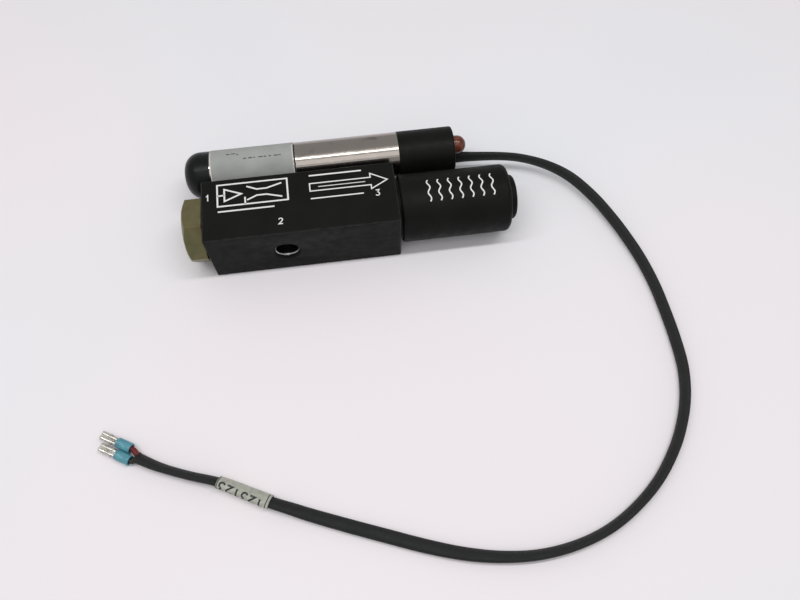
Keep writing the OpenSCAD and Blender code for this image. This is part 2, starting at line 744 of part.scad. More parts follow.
// ---------- terminals ----------

// Heading of both terminals, and the middle of the crimp sleeve on one side (+1 or -1). The
// red core's terminal stands a little further out than the black core's.
ahead = [cos(terminal_turn), sin(terminal_turn), 0];
function crimp_at(side) = [terminal_mid[0], terminal_mid[1], crimp_z]
    + side * ([ahead[1], -ahead[0], 0] * terminal_pitch + ahead * terminal_stagger) / 2;

// Places a terminal's own frame: +Z points out of the terminal.
module terminal_frame(side) {
    translate(crimp_at(side)) rotate([0, 0, terminal_turn]) rotate([0, 90, 0]) children();
}

// A blue nylon crimp sleeve, open at the wire's end and at the terminal's end.
module crimp_sleeve(side) {
    color("#5aa0b4") terminal_frame(side) difference() {
        translate([0, 0, -crimp_l / 2]) cylinder(d = crimp_d, h = crimp_l, $fn = 48);
        translate([0, 0, -crimp_l / 2 - 1])
            cylinder(d = crimp_d - 2 * crimp_wall, h = crimp_l + 2, $fn = 48);
    }
}

// A tinned terminal: a round barrel in the crimp sleeve, and a strip with both edges curled over.
module terminal(side) {
    curl_d = 1.3;
    barrel_d = crimp_d - 2 * crimp_wall - 2 * fit_gap;
    color("#c8c8bc") terminal_frame(side) {
        translate([0, 0, crimp_l / 2 - shank_in_crimp]) cylinder(d = barrel_d, h = shank_in_crimp + 0.3, $fn = 48);
        translate([0, 0, crimp_l / 2 + 0.2]) linear_extrude(terminal_l - 0.2) terminal_section(curl_d);
    }
}

// The strip's section: a flat base, low on the +X side of its frame, with a curl at each edge.
module terminal_section(curl_d) {
    half = terminal_w / 2 - curl_d / 2;
    base = curl_d / 2;
    translate([base - terminal_t / 2, -half]) square([terminal_t, 2 * half]);
    for (s = [-1, 1]) translate([0, s * half]) difference() {
        circle(d = curl_d + terminal_t, $fn = 32);
        circle(d = curl_d - terminal_t, $fn = 32);
        translate([-curl_d * 1.2, s > 0 ? -curl_d : 0.1]) square([curl_d * 1.2, curl_d - 0.1]);
    }
}

// A core's wire: it leaves the end of the jacket, spreads from its fellow and enters the sleeve.
module wire(side) {
    u = heading(len(route) - 1);
    level = [u[1], -u[0], 0] / norm([u[1], -u[0], 0]);
    start = place(len(route) - 1) + level * side * wire_d * 0.55 + u * fit_gap;
    mouth = crimp_at(side) - ahead * crimp_l / 2;
    end = mouth + ahead * (crimp_l - shank_in_crimp - fit_gap);
    line = [start, start + u * 0.6, (start + mouth) / 2, mouth - ahead * 0.3, end];
    oval_tube([for (p = line) [p[0], p[1], p[2], 0]], wire_d / 2, wire_d / 2);
}

pump_body();
inlet_fitting();
inlet_o_ring();
air_nozzle();
nozzle_o_ring();
diffuser();
diffuser_o_rings();
silencer_neck();
silencer_shell();
silencer_core();
silencer_liner();
silencer_end_cap();
saddle_gasket();
sensing_nipple();
switch_front_cap();
switch_sleeve();
switch_label();
switch_rear_housing();
sensor_carrier();
pressure_sensor();
circuit_board();
status_lamp();
potting_plug();
cable_grommet();
switch_cable();
marker_sleeve();
color("#7a2a2c") wire(red_side);  // red_wire
color("#1f2222") wire(black_side);  // black_wire
crimp_sleeve(red_side);  // red_crimp_sleeve
crimp_sleeve(black_side);  // black_crimp_sleeve
terminal(red_side);  // red_terminal
terminal(black_side);  // black_terminal
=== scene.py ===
import math

import bmesh
import bpy
import numpy as np
from mathutils import Matrix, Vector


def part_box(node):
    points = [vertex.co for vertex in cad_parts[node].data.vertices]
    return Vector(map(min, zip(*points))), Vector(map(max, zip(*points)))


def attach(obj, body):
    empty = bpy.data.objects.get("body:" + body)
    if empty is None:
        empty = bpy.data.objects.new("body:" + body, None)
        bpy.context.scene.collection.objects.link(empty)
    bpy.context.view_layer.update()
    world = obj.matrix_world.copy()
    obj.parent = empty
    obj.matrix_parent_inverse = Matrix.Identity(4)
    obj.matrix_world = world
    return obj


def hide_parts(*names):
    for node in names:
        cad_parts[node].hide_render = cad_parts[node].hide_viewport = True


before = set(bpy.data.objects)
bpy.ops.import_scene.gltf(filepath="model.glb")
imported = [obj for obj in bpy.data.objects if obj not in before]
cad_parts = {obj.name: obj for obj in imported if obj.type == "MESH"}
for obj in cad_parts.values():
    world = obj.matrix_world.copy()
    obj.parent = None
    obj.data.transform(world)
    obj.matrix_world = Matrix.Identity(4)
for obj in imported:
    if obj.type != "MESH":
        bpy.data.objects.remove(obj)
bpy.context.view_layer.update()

# ---------- camera ----------
# It looks down over the front of the pump from about a quarter of a metre, turned a little
# towards the exhaust.


def put(name, data):
    """A new object that shows the data, in the scene."""
    thing = bpy.data.objects.new(name, data)
    bpy.context.scene.collection.objects.link(thing)
    return thing


yaw, pitch, roll = math.radians(8.4), math.radians(65.41), math.radians(0.88)
ahead = np.array([math.sin(yaw) * math.cos(pitch), math.cos(yaw) * math.cos(pitch), -math.sin(pitch)])
level = np.array([math.cos(yaw), -math.sin(yaw), 0.0])
above = np.cross(level, ahead)
right = math.cos(roll) * level + math.sin(roll) * above
up = math.cos(roll) * above - math.sin(roll) * level
eye = np.array([0.015948, -0.139955, 0.239462])
bench_camera = put("bench_camera", bpy.data.cameras.new("bench_camera"))
bench_camera.data.sensor_width = 36.0
bench_camera.data.lens = 31.78
bench_camera.matrix_world = Matrix(np.vstack([np.column_stack([right, up, -ahead, eye]), [0, 0, 0, 1]]))
bpy.context.scene.camera = bench_camera
bpy.context.scene.view_settings.view_transform = "Standard"


# ---------- switch cable ----------
# A flat two-core lead with an extruded PVC jacket, about 0.37 m long. It is potted into the
# switch's end, turns over as it comes down to the bench and lies there in one wide bend.
route = np.array([
    (0.057475, 0.02375, 0.008, 66), (0.062875, 0.02375, 0.008, 66), (0.067875, 0.02355, 0.00775, 82),
    (0.0789, 0.0225, 0.0075, 95), (0.0879, 0.0208, 0.0069, 96), (0.0973, 0.017, 0.006, 87),
    (0.1056, 0.0109, 0.0051, 73), (0.1125, 0.0019, 0.0042, 68), (0.1176, -0.0077, 0.0035, 67),
    (0.1217, -0.0177, 0.00295, 66), (0.1249, -0.0278, 0.0025, 65), (0.127, -0.0385, 0.00225, 64),
    (0.128, -0.0498, 0.00215, 62), (0.1284, -0.0604, 0.00215, 62), (0.128, -0.0715, 0.00215, 63),
    (0.1257, -0.0816, 0.0022, 64), (0.1219, -0.0905, 0.0022, 64), (0.1166, -0.0991, 0.00215, 63),
    (0.1087, -0.1082, 0.0022, 64), (0.0992, -0.1157, 0.0022, 65), (0.0886, -0.1215, 0.00215, 63),
    (0.0771, -0.125, 0.00215, 60), (0.065, -0.1264, 0.00205, 53), (0.053, -0.1256, 0.00185, 41),
    (0.041, -0.1231, 0.0016, 26), (0.029, -0.1192, 0.00145, 14), (0.017, -0.1145, 0.00145, 11),
    (0.005, -0.1097, 0.00145, 14), (-0.007, -0.1047, 0.00155, 22), (-0.0128, -0.1021, 0.00195, 30),
    (-0.0197, -0.099, 0.0023, 38), (-0.0282, -0.0945, 0.00245, 48), (-0.0362, -0.0904, 0.0026, 58),
    (-0.0454, -0.0871, 0.0024, 63), (-0.053, -0.084, 0.00215, 62), (-0.058, -0.0816, 0.00205, 53),
    (-0.0633, -0.0785, 0.0019, 43),
])
cable_wide, cable_thick = 0.0046, 0.0027
span_steps = 8


def curve_through(points, steps):
    """Catmull-Rom curve: between two points each coordinate is the cubic whose slope at either
    end is half the step between that end's neighbours. Every span gets the same steps."""
    padded = np.vstack([points[:1], points, points[-1:]])
    a, b, c, d = (padded[i:len(padded) - 3 + i, None] for i in range(4))
    t = np.arange(steps)[:, None] / steps
    spans = b + 0.5 * ((c - a) * t + (2 * a - 5 * b + 4 * c - d) * t**2 + (3 * b - a - 3 * c + d) * t**3)
    return np.vstack([spans.reshape(-1, points.shape[1]), points[-1:]])


def ways_of(line):
    """At each point of a line, the unit vector along it, and the level one square to that."""
    run = np.gradient(line[:, :3], axis=0)
    run /= np.linalg.norm(run, axis=1, keepdims=True)
    side = np.cross([0.0, 0.0, 1.0], run)
    side /= np.linalg.norm(side, axis=1, keepdims=True)
    return run, side


def oval_rings(line, wide, thick, grow=0.0, sides=32):
    """Rings square to a line of (x, y, z, turn): ellipses of the two half sizes, both made larger
    by grow, whose wide side is turned from level about the line by turn degrees."""
    run, side = ways_of(line)
    turn = np.radians(line[:, 3])[:, None, None]
    around = np.linspace(0, 2 * np.pi, sides, endpoint=False)[None, :, None]
    grow = np.broadcast_to(grow, len(line))[:, None, None]
    x, y = (wide + grow) * np.cos(around), (thick + grow) * np.sin(around)
    across, upward = x * np.cos(turn) - y * np.sin(turn), x * np.sin(turn) + y * np.cos(turn)
    return line[:, None, :3] + side[:, None] * across + np.cross(run, side)[:, None] * upward


def join_doubles(mesh):
    """Makes one point of the mesh's points that lie on one place."""
    work = bmesh.new()
    work.from_mesh(mesh)
    bmesh.ops.remove_doubles(work, verts=work.verts, dist=1e-7)
    work.to_mesh(mesh)
    work.free()


def skin(name, grids, ends="flat", crease=35):
    """A closed piece from grids of points. Four-sided faces join ring i of a grid to ring i + 1.
    At its ends a grid has flat faces, poles (rings shrunk to a point), or is one loop of rings.
    The UV map holds the distance along the first line of points, in metres, and the share of the
    way round."""
    faces, uvs, start = [], [], 0
    for grid in grids:
        rings, sides = grid.shape[:2]
        index = start + np.arange(rings * sides).reshape(rings, sides)
        start += rings * sides
        near, far = (index, np.roll(index, -1, 0)) if ends == "loop" else (index[:-1], index[1:])
        faces += np.stack([near, np.roll(near, -1, 1), np.roll(far, -1, 1), far], -1).reshape(-1, 4).tolist()
        steps = np.linalg.norm(np.diff(grid[:, 0], axis=0, append=grid[:1, 0]), axis=1)
        run = np.concatenate([[0], np.cumsum(steps)])[:, None] + np.zeros(sides)
        v = np.zeros(len(near))[:, None] + np.arange(sides) / sides
        u0, u1, v1 = run[:len(near)], run[1:len(near) + 1], v + 1 / sides
        uvs.append(np.stack([u0, v, u0, v1, u1, v1, u1, v], -1).reshape(-1, 2))
        if ends == "flat":
            faces += [index[0, ::-1].tolist(), index[-1].tolist()]
            uvs.append(np.zeros((2 * sides, 2)))
    mesh = bpy.data.meshes.new(name)
    mesh.from_pydata(np.concatenate([g.reshape(-1, 3) for g in grids]).tolist(), [], faces)
    mesh.uv_layers.new(name="UVMap").data.foreach_set("uv", np.concatenate(uvs).ravel())
    if ends == "poles":
        join_doubles(mesh)
    mesh.shade_smooth()
    mesh.set_sharp_from_angle(angle=math.radians(crease))
    return put(name, mesh)


def finish(name, colour, rough, **sockets):
    """A new material with one Principled shader. A socket is named with _ for each space."""
    material = bpy.data.materials.new(name)
    material.use_nodes = True
    tree = material.node_tree
    shader = tree.nodes["Principled BSDF"]
    shader.inputs["Base Color"].default_value = (*colour, 1)
    shader.inputs["Roughness"].default_value = rough
    for socket, value in sockets.items():
        shader.inputs[socket.replace("_", " ")].default_value = value
    return material, tree, shader


def grain(tree, scale, stretch=(1, 1, 1), detail=3.0, uv=False):
    """Noise with scale cells a metre, squeezed along each axis by stretch."""
    place = tree.nodes.new("ShaderNodeMapping")
    place.inputs["Scale"].default_value = stretch
    source = tree.nodes.new("ShaderNodeTexCoord").outputs["UV" if uv else "Object"]
    tree.links.new(source, place.inputs["Vector"])
    noise = tree.nodes.new("ShaderNodeTexNoise")
    noise.inputs["Scale"].default_value = scale
    noise.inputs["Detail"].default_value = detail
    tree.links.new(place.outputs[0], noise.inputs["Vector"])
    return noise.outputs[0]


def tint(tree, value, socket, *stops):
    """Colours by the value: each stop is (value, (red, green, blue))."""
    ramp = tree.nodes.new("ShaderNodeValToRGB")
    while len(ramp.color_ramp.elements) < len(stops):
        ramp.color_ramp.elements.new(0.5)
    for element, (at, colour) in zip(ramp.color_ramp.elements, stops):
        element.position = at
        element.color = (*colour, 1)
    tree.links.new(value, ramp.inputs[0])
    tree.links.new(ramp.outputs[0], socket)
    return ramp.outputs[0]


def shift(tree, value, socket, low, high, to_low, to_high):
    """The value, with low to high spread over to_low to to_high."""
    node = tree.nodes.new("ShaderNodeMapRange")
    for key, number in zip(("From Min", "From Max", "To Min", "To Max"), (low, high, to_low, to_high)):
        node.inputs[key].default_value = number
    tree.links.new(value, node.inputs["Value"])
    if socket is not None:
        tree.links.new(node.outputs[0], socket)
    return node.outputs[0]


def relief(tree, shader, height, depth):
    """Bumps whose tops stand depth metres over their hollows, on top of any bumps before them."""
    bump = tree.nodes.new("ShaderNodeBump")
    bump.inputs["Distance"].default_value = depth
    tree.links.new(height, bump.inputs["Height"])
    if shader.inputs["Normal"].is_linked:
        tree.links.new(shader.inputs["Normal"].links[0].from_socket, bump.inputs["Normal"])
    tree.links.new(bump.outputs[0], shader.inputs["Normal"])


def mottle(tree, shader, value, tone, other):
    """The shader's colour: one tone where the value is under 0.3, the other where it is over 0.7."""
    return tint(tree, value, shader.inputs["Base Color"], (0.3, tone), (0.7, other))


def gloss(tree, shader, value, smooth, dull):
    """The shader's roughness, from smooth at a value of 0.3 to dull at 0.7."""
    shift(tree, value, shader.inputs["Roughness"], 0.3, 0.7, smooth, dull)


jacket, tree, shader = finish("cable_jacket_pvc", (0.013, 0.0145, 0.0135), 0.5, Specular_IOR_Level=0.25)
mottle(tree, shader, grain(tree, 40, (1, 12, 1), uv=True), (0.010, 0.0115, 0.0105), (0.017, 0.019, 0.0175))
gloss(tree, shader, grain(tree, 900), 0.42, 0.6)
relief(tree, shader, grain(tree, 60, (1, 20, 1), uv=True), 0.00008)
relief(tree, shader, grain(tree, 2500), 0.00002)

cable_line = curve_through(route, span_steps)
cable = skin("cable", [oval_rings(cable_line, cable_wide / 2, cable_thick / 2)])
cable.data.materials.append(jacket)
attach(cable, "root")
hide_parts("switch_cable")


# ---------- marker sleeve ----------
# A white sleeve shrunk on the cable near its end. A plain wire number is printed along it
# twice over, between two rings.
marker_first, marker_last = 30, 32  # the points of the route at its ends
marker_line = cable_line[marker_first * span_steps:marker_last * span_steps + 1]
sleeve_inside, sleeve_outside = 0.00015, 0.0005
print_middle, print_radius = math.radians(4), 0.0021
digit_high, digit_foot, digit_step, digit_stroke = 0.0033, -0.0016, 0.0027, 0.0006
numbers_at, rings_at, ring_high, ring_stroke = (0.0019, 0.0101), (0.0009, 0.0183), 0.009, 0.0003

marker_white, tree, shader = finish("marker_white_pvc", (0.39, 0.40, 0.345), 0.5)
tint(tree, grain(tree, 700), shader.inputs["Base Color"],
     (0.3, (0.32, 0.33, 0.275)), (0.6, (0.43, 0.44, 0.38)))
relief(tree, shader, grain(tree, 1500), 0.00003)

wall = [oval_rings(marker_line, cable_wide / 2, cable_thick / 2, g) for g in (sleeve_outside, sleeve_inside)]
marker = skin("cable_marker", [np.concatenate([wall[0], wall[1][::-1]])], "loop")
marker.data.materials.append(marker_white)
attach(marker, "root")
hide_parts("marker_sleeve")


def ribbon(line, width, onto, thick=0.00002, closed=False):
    """A flat stroke along a line of (u, v), mitred where it turns, as rings of four points: the
    offset at a point is the sum of the two normals there over its squared length, times width.
    onto carries (u, v, height) to the surface that is printed."""
    line = np.asarray(line, float)
    run = np.diff(line, axis=0, append=line[:1])
    run /= np.maximum(np.linalg.norm(run, axis=1, keepdims=True), 1e-12)
    normal = np.column_stack([-run[:, 1], run[:, 0]])
    if not closed:
        normal[-1] = normal[-2]
    before = np.roll(normal, 1, axis=0)
    if not closed:
        before[0] = normal[0]
    mitre = normal + before
    mitre *= width / np.maximum((mitre**2).sum(1, keepdims=True), 0.5)
    left, right_edge = line + mitre, line - mitre
    plan = np.stack([left, right_edge, right_edge, left], axis=1)
    height = np.array([thick, thick, -thick / 2, -thick / 2]) + np.zeros((len(line), 1))
    return onto(plan[..., 0], plan[..., 1], height)


def numeral(digit, at, size):
    """The strokes of 1, 2 or 3, size high, with its lower left corner at the point (u, v)."""
    bend, belly = np.radians(np.linspace(165, -38, 12)), np.radians(np.linspace(85, -150, 14))
    upper = np.column_stack([0.3 + 0.27 * np.cos(bend), 0.72 + 0.27 * np.sin(bend)])
    lower = np.column_stack([0.28 + 0.29 * np.cos(belly), 0.3 + 0.29 * np.sin(belly)])
    lines = {
        1: [[(0.1, 0.76), (0.34, 1.0), (0.34, 0.0)]],
        2: [np.vstack([upper, [(0.04, 0.04), (0.6, 0.04)]])],
        3: [[(0.06, 0.98), (0.56, 0.98), (0.3, 0.6)], lower],
    }[digit]
    return [np.asarray(line) * size + at for line in lines]


def distances(line):
    """How far along a line each of its points is."""
    return np.concatenate([[0], np.cumsum(np.linalg.norm(np.diff(line, axis=0), axis=1))])


def along(line, step):
    """The same line with points at most step apart."""
    far = distances(line)
    at = np.union1d(far, np.arange(0, far[-1], step))
    return np.column_stack([np.interp(at, far, line[:, 0]), np.interp(at, far, line[:, 1])])


def on_marker(u, v, height):
    """u runs along the sleeve and v up the digits: v over a radius is the angle round the sleeve's
    ellipse, on the side that faces front and up."""
    run, side = ways_of(marker_line)
    far = distances(marker_line[:, :3])

    def at(values):
        """The values at the distance u, from those at the sleeve's own points."""
        return np.stack([np.interp(u, far, column) for column in values.T], axis=-1)

    turn = np.radians(np.interp(u, far, marker_line[:, 3]))[..., None]
    around = (print_middle - v / print_radius)[..., None]
    x = (cable_wide / 2 + sleeve_outside + height[..., None]) * np.cos(around)
    y = (cable_thick / 2 + sleeve_outside + height[..., None]) * np.sin(around)
    over = x * np.cos(turn) - y * np.sin(turn), x * np.sin(turn) + y * np.cos(turn)
    return at(marker_line[:, :3]) + at(side) * over[0] + at(np.cross(run, side)) * over[1]


print_black, tree, shader = finish("marker_print_black", (0.02, 0.02, 0.022), 0.6)
tint(tree, grain(tree, 4000), shader.inputs["Base Color"],
     (0.3, (0.06, 0.06, 0.06)), (0.45, (0.012, 0.012, 0.015)))
strokes = []
for number_at in numbers_at:
    for step, digit in enumerate((1, 2, 3)):
        strokes += numeral(digit, (number_at + digit_step * step, digit_foot), digit_high)
marks = [ribbon(along(line, 0.0002), digit_stroke, on_marker) for line in strokes]
edge = np.linspace(-ring_high / 2, ring_high / 2, 50)
for ring_at in rings_at:
    marks.append(ribbon(np.column_stack([edge * 0 + ring_at, edge]), ring_stroke, on_marker))
marker_print = skin("marker_print", marks)
marker_print.data.materials.append(print_black)
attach(marker_print, "root")


# ---------- wires ----------
# The two cores of the cable leave its end and go straight into the crimp sleeves, red into the
# one at the back and black into the one in front.
wire_across = 0.0019
# how far a core lies to its side, starts inside the jacket, runs straight as it leaves it and
# as it comes to its crimp sleeve, and stops short of that sleeve's far end
core_aside, core_inside, core_leaves, core_comes, core_short = 0.001045, 0.0004, 0.001, 0.0003, 0.0017
sleeve_long, sleeve_across, sleeve_wall = 0.0054, 0.0036, 0.0005
sleeve_turn = math.radians(149)
sleeve_way = np.array([math.cos(sleeve_turn), math.sin(sleeve_turn), 0.0])


def middle_of(node):
    """The middle of a CAD node's box."""
    low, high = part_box(node)
    return (np.array(low) + np.array(high)) / 2


end_way = route[-1, :3] - route[-2, :3]
end_way /= np.linalg.norm(end_way)
beside = np.cross(end_way, [0.0, 0.0, 1.0])
beside /= np.linalg.norm(beside)
for colour, paint, worn, hand in (("red", (0.12, 0.008, 0.010), (0.18, 0.016, 0.018), 1),
                                  ("black", (0.008, 0.010, 0.010), (0.018, 0.02, 0.02), -1)):
    insulation, tree, shader = finish("wire_" + colour, paint, 0.4, Specular_IOR_Level=0.4)
    tint(tree, grain(tree, 500), shader.inputs["Base Color"], (0.35, paint), (0.7, worn))
    relief(tree, shader, grain(tree, 60, (1, 30, 1), uv=True), 0.00003)
    out = route[-1, :3] + beside * hand * core_aside - end_way * core_inside
    mouth = middle_of(colour + "_crimp_sleeve") - sleeve_way * sleeve_long / 2
    points = np.array([out, out + end_way * core_leaves, (out + mouth) / 2, mouth - sleeve_way * core_comes,
                       mouth + sleeve_way * (sleeve_long - core_short)])
    line = curve_through(np.column_stack([points, np.zeros(len(points))]), span_steps)
    wire = skin(colour + "_core", [oval_rings(line, wire_across / 2, wire_across / 2, sides=24)])
    wire.data.materials.append(insulation)
    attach(wire, "root")
    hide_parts(colour + "_wire")


# ---------- crimp sleeves ----------
# Blue nylon sleeves on the terminals' barrels, pressed flat on both sides by the crimping tool
# and rolled in a little at their ends.


def rounded(corners, closed=True, steps=7, ease=0.00003):
    """A profile through corners (along, radius, rounding). Each corner becomes the arc that
    touches both of its sides: a rational quadratic curve whose middle weight is the cosine of
    half the turn. One more point on each side of the arc keeps the flats flat."""
    point, fillet = np.array(corners, float)[:, :2], np.array(corners, float)[:, 2]
    before, after = point - np.roll(point, 1, 0), np.roll(point, -1, 0) - point
    if not closed:
        before[0], after[-1] = after[0], before[-1]
    before /= np.linalg.norm(before, axis=1, keepdims=True)
    after /= np.linalg.norm(after, axis=1, keepdims=True)
    half = np.arccos(np.clip((before * after).sum(1), -1, 1)) / 2
    reach = (fillet * np.tan(half))[:, None]
    first, last = point - before * reach, point + after * reach
    t = np.linspace(0, 1, steps)[None, :, None]
    weight = np.cos(half)[:, None, None]
    arc = (1 - t)**2 * first[:, None] + 2 * weight * t * (1 - t) * point[:, None] + t**2 * last[:, None]
    arc /= (1 - t)**2 + 2 * weight * t * (1 - t) + t**2
    spare = np.where(fillet[:, None] > 0, ease, 0)
    arc = np.concatenate([(first - before * spare)[:, None], arc, (last + after * spare)[:, None]], 1)
    line = arc.reshape(-1, 2)
    step = np.linalg.norm(line - np.roll(line, 1, 0), axis=1)
    keep = step > 1e-8
    keep[0] |= not closed
    return line[keep]


def refine(profile, step):
    """The closed profile with points at most step apart on its long runs."""
    return along(np.vstack([profile, profile[:1]]), step)[:-1]


def turned(profile, middle, axis=(1, 0, 0), sides=96, first=0.0, radius=None):
    """Rings of a turned piece: each point (along, radius) of the profile goes round the axis
    through middle. radius, of rings by sides, may take the profile's place."""
    axis = np.asarray(axis, float)
    side = np.cross([0.0, 0.0, 1.0], axis)
    side /= np.linalg.norm(side)
    angle = first + np.linspace(0, 2 * np.pi, sides, endpoint=False)[None, :, None]
    reach = (np.broadcast_to(profile[:, 1:2], (len(profile), sides)) if radius is None else radius)[..., None]
    spoke = np.cos(angle) * side + np.sin(angle) * np.cross(axis, side)
    return np.asarray(middle) + profile[:, :1, None] * axis + reach * spoke


sleeve_blue, tree, shader = finish("crimp_nylon_blue", (0.09, 0.30, 0.37), 0.32, Subsurface_Weight=0.15,
                                   Subsurface_Radius=(0.0004, 0.0008, 0.001))
mottle(tree, shader, grain(tree, 350), (0.065, 0.24, 0.31), (0.12, 0.36, 0.42))
gloss(tree, shader, grain(tree, 1500), 0.25, 0.45)
relief(tree, shader, grain(tree, 1200), 0.00004)
dent_half, dent_deep, sleeve_sides = 0.0013, 0.00028, 48
for colour in ("red", "black"):
    half, outer, inner = sleeve_long / 2, sleeve_across / 2, sleeve_across / 2 - sleeve_wall
    profile = refine(rounded([(-half, outer, 0.0002), (half, outer, 0.0002), (half, inner, 0.00015),
                              (-half, inner, 0.00015)]), 0.0002)
    # a dent's depth is e to minus the fourth power of the way along, times the sine's cube round it
    angle = np.linspace(0, 2 * np.pi, sleeve_sides, endpoint=False)
    dent = np.exp(-(profile[:, :1] / dent_half)**4) * np.abs(np.sin(angle))**3 * dent_deep
    radius = profile[:, 1:2] - dent * (profile[:, 1:2] > inner + 0.0001)
    rings = turned(profile, middle_of(colour + "_crimp_sleeve"), sleeve_way, sleeve_sides, radius=radius)
    sleeve = skin(colour + "_nylon_sleeve", [rings], "loop")
    sleeve.data.materials.append(sleeve_blue)
    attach(sleeve, "root")
    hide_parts(colour + "_crimp_sleeve")


# ---------- terminals ----------
# Stamped from brass strip with both edges curled over, and tinned. The barrel behind the strip
# is crimped on the wire's core, inside the crimp sleeve.
strip_wide, strip_long, strip_thick, curl = 0.0028, 0.0063, 0.0004, 0.00065
barrel_back, barrel_front, barrel_radius = -0.0016, 0.0003, 0.00125

tinned, tree, shader = finish("terminal_tinned", (0.66, 0.65, 0.60), 0.3, Metallic=1.0)
tint(tree, grain(tree, 600), shader.inputs["Base Color"],
     (0.35, (0.40, 0.39, 0.35)), (0.6, (0.78, 0.77, 0.71)))
gloss(tree, shader, grain(tree, 2000), 0.22, 0.48)
relief(tree, shader, grain(tree, 900), 0.00005)
for colour in ("red", "black"):
    # the middle line of the strip's section: over one curl, along the base and over the other
    over = np.radians(np.linspace(150, -90, 15))
    right_curl = np.column_stack([strip_wide / 2 - curl + curl * np.cos(over), curl * np.sin(over)])
    left_curl = right_curl[::-1] * (-1, 1)
    line = np.vstack([right_curl, left_curl])
    way = np.gradient(line, axis=0)
    way /= np.linalg.norm(way, axis=1, keepdims=True)
    off = np.column_stack([-way[:, 1], way[:, 0]]) * strip_thick / 2
    section = np.vstack([line - off, (line + off)[::-1]])
    x, y = section.T
    if (x * np.roll(y, -1) - y * np.roll(x, -1)).sum() < 0:  # twice its area, negative if it runs clockwise
        section = section[::-1]
    # the strip is drawn in a little where it leaves the barrel and at its tip
    far = np.concatenate([[0.0002, 0.00028, 0.0006], np.linspace(0.001, strip_long - 0.0004, 12),
                          [strip_long - 0.0001, strip_long]])
    places = [0.0002, 0.0006, 0.0012, strip_long - 0.0004, strip_long]
    size = np.interp(far, places, [0.86, 0.9, 1, 1, 0.93])[:, None, None]
    start = middle_of(colour + "_crimp_sleeve") + sleeve_way * sleeve_long / 2
    side = np.cross([0.0, 0.0, 1.0], sleeve_way)
    plan = section[None] * size
    strip = start + far[:, None, None] * sleeve_way
    strip = strip + plan[..., :1] * side + plan[..., 1:] * np.array([0, 0, 1.0])
    barrel_profile = np.array([(barrel_back, 0), (barrel_back, barrel_radius),
                               (barrel_front, barrel_radius), (barrel_front, 0)])
    barrel = turned(barrel_profile, start, sleeve_way, 40)
    terminal = skin(colour + "_tongue", [strip])
    core = skin(colour + "_barrel", [barrel], "poles")
    for piece in (terminal, core):
        piece.data.materials.append(tinned)
        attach(piece, "root")
    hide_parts(colour + "_terminal")


# ---------- pump body ----------
# A one inch square bar of aluminium, milled, bored and anodised black. Its sharp corners are
# broken, and the anodising is worn thin along them.
body_low, body_high = (np.array(corner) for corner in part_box("pump_body"))
axis_z = (body_low[2] + body_high[2]) / 2
edge_round, edge_worn = 0.00012, 0.00015


def smoothed(node, name, material, bevel=0.0, crease=30):
    """A copy of a CAD node with its loose triangles joined and its round walls shaded smooth, in
    the node's place. Its corners are rounded by bevel."""
    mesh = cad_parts[node].data.copy()
    mesh.name = name
    join_doubles(mesh)
    mesh.shade_smooth()
    mesh.set_sharp_from_angle(angle=math.radians(crease))
    mesh.materials.clear()
    mesh.materials.append(material)
    piece = put(name, mesh)
    if bevel:
        edge = piece.modifiers.new("rounded_edges", "BEVEL")
        edge.width, edge.segments, edge.harden_normals = bevel, 2, True
        edge.limit_method, edge.angle_limit = "ANGLE", math.radians(crease)
    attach(piece, "root")
    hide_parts(node)


def arithmetic(tree, kind, one, two):
    """One step of arithmetic between two values, each a number or an output."""
    node = tree.nodes.new("ShaderNodeMath")
    node.operation = kind
    for socket, value in zip(node.inputs, (one, two)):
        if isinstance(value, (int, float)):
            socket.default_value = value
        else:
            tree.links.new(value, socket)
    return node.outputs[0]


def anodised(name, marks, depth):
    """Black anodising: a dark, slightly uneven tone, faint tool marks, and fine dust."""
    material, tree, shader = finish(name, (0.0065, 0.0065, 0.006), 0.5, Specular_IOR_Level=0.1)
    tone = mottle(tree, shader, grain(tree, 90, detail=5), (0.0052, 0.0053, 0.0047), (0.0085, 0.0086, 0.0078))
    gloss(tree, shader, grain(tree, 300), 0.45, 0.62)
    relief(tree, shader, grain(tree, 1, marks, detail=2), depth)
    relief(tree, shader, grain(tree, 6000, detail=1), 0.000004)
    return material, tree, shader, tone


def laid_over(tree, shader, under, colour, share):
    """The shader's colour: the one under, and over it another as far as the share says."""
    mix = tree.nodes.new("ShaderNodeMix")
    mix.data_type = "RGBA"
    tree.links.new(share, mix.inputs["Factor"])
    tree.links.new(under, mix.inputs["A"])
    mix.inputs["B"].default_value = (*colour, 1)
    tree.links.new(mix.outputs["Result"], shader.inputs["Base Color"])


def place_of(tree):
    """The X, Y and Z of a point, as three outputs."""
    split = tree.nodes.new("ShaderNodeSeparateXYZ")
    tree.links.new(tree.nodes.new("ShaderNodeTexCoord").outputs["Object"], split.inputs[0])
    return split.outputs


body_black, tree, shader, tone = anodised("anodised_body", (60, 2500, 2500), 0.000006)
place, depths = place_of(tree), []
for i in range(3):
    half, middle = float((body_high - body_low)[i] / 2), float((body_low + body_high)[i] / 2)
    from_middle = arithmetic(tree, "ABSOLUTE", arithmetic(tree, "SUBTRACT", place[i], middle), 0)
    depths.append(arithmetic(tree, "SUBTRACT", half, from_middle))
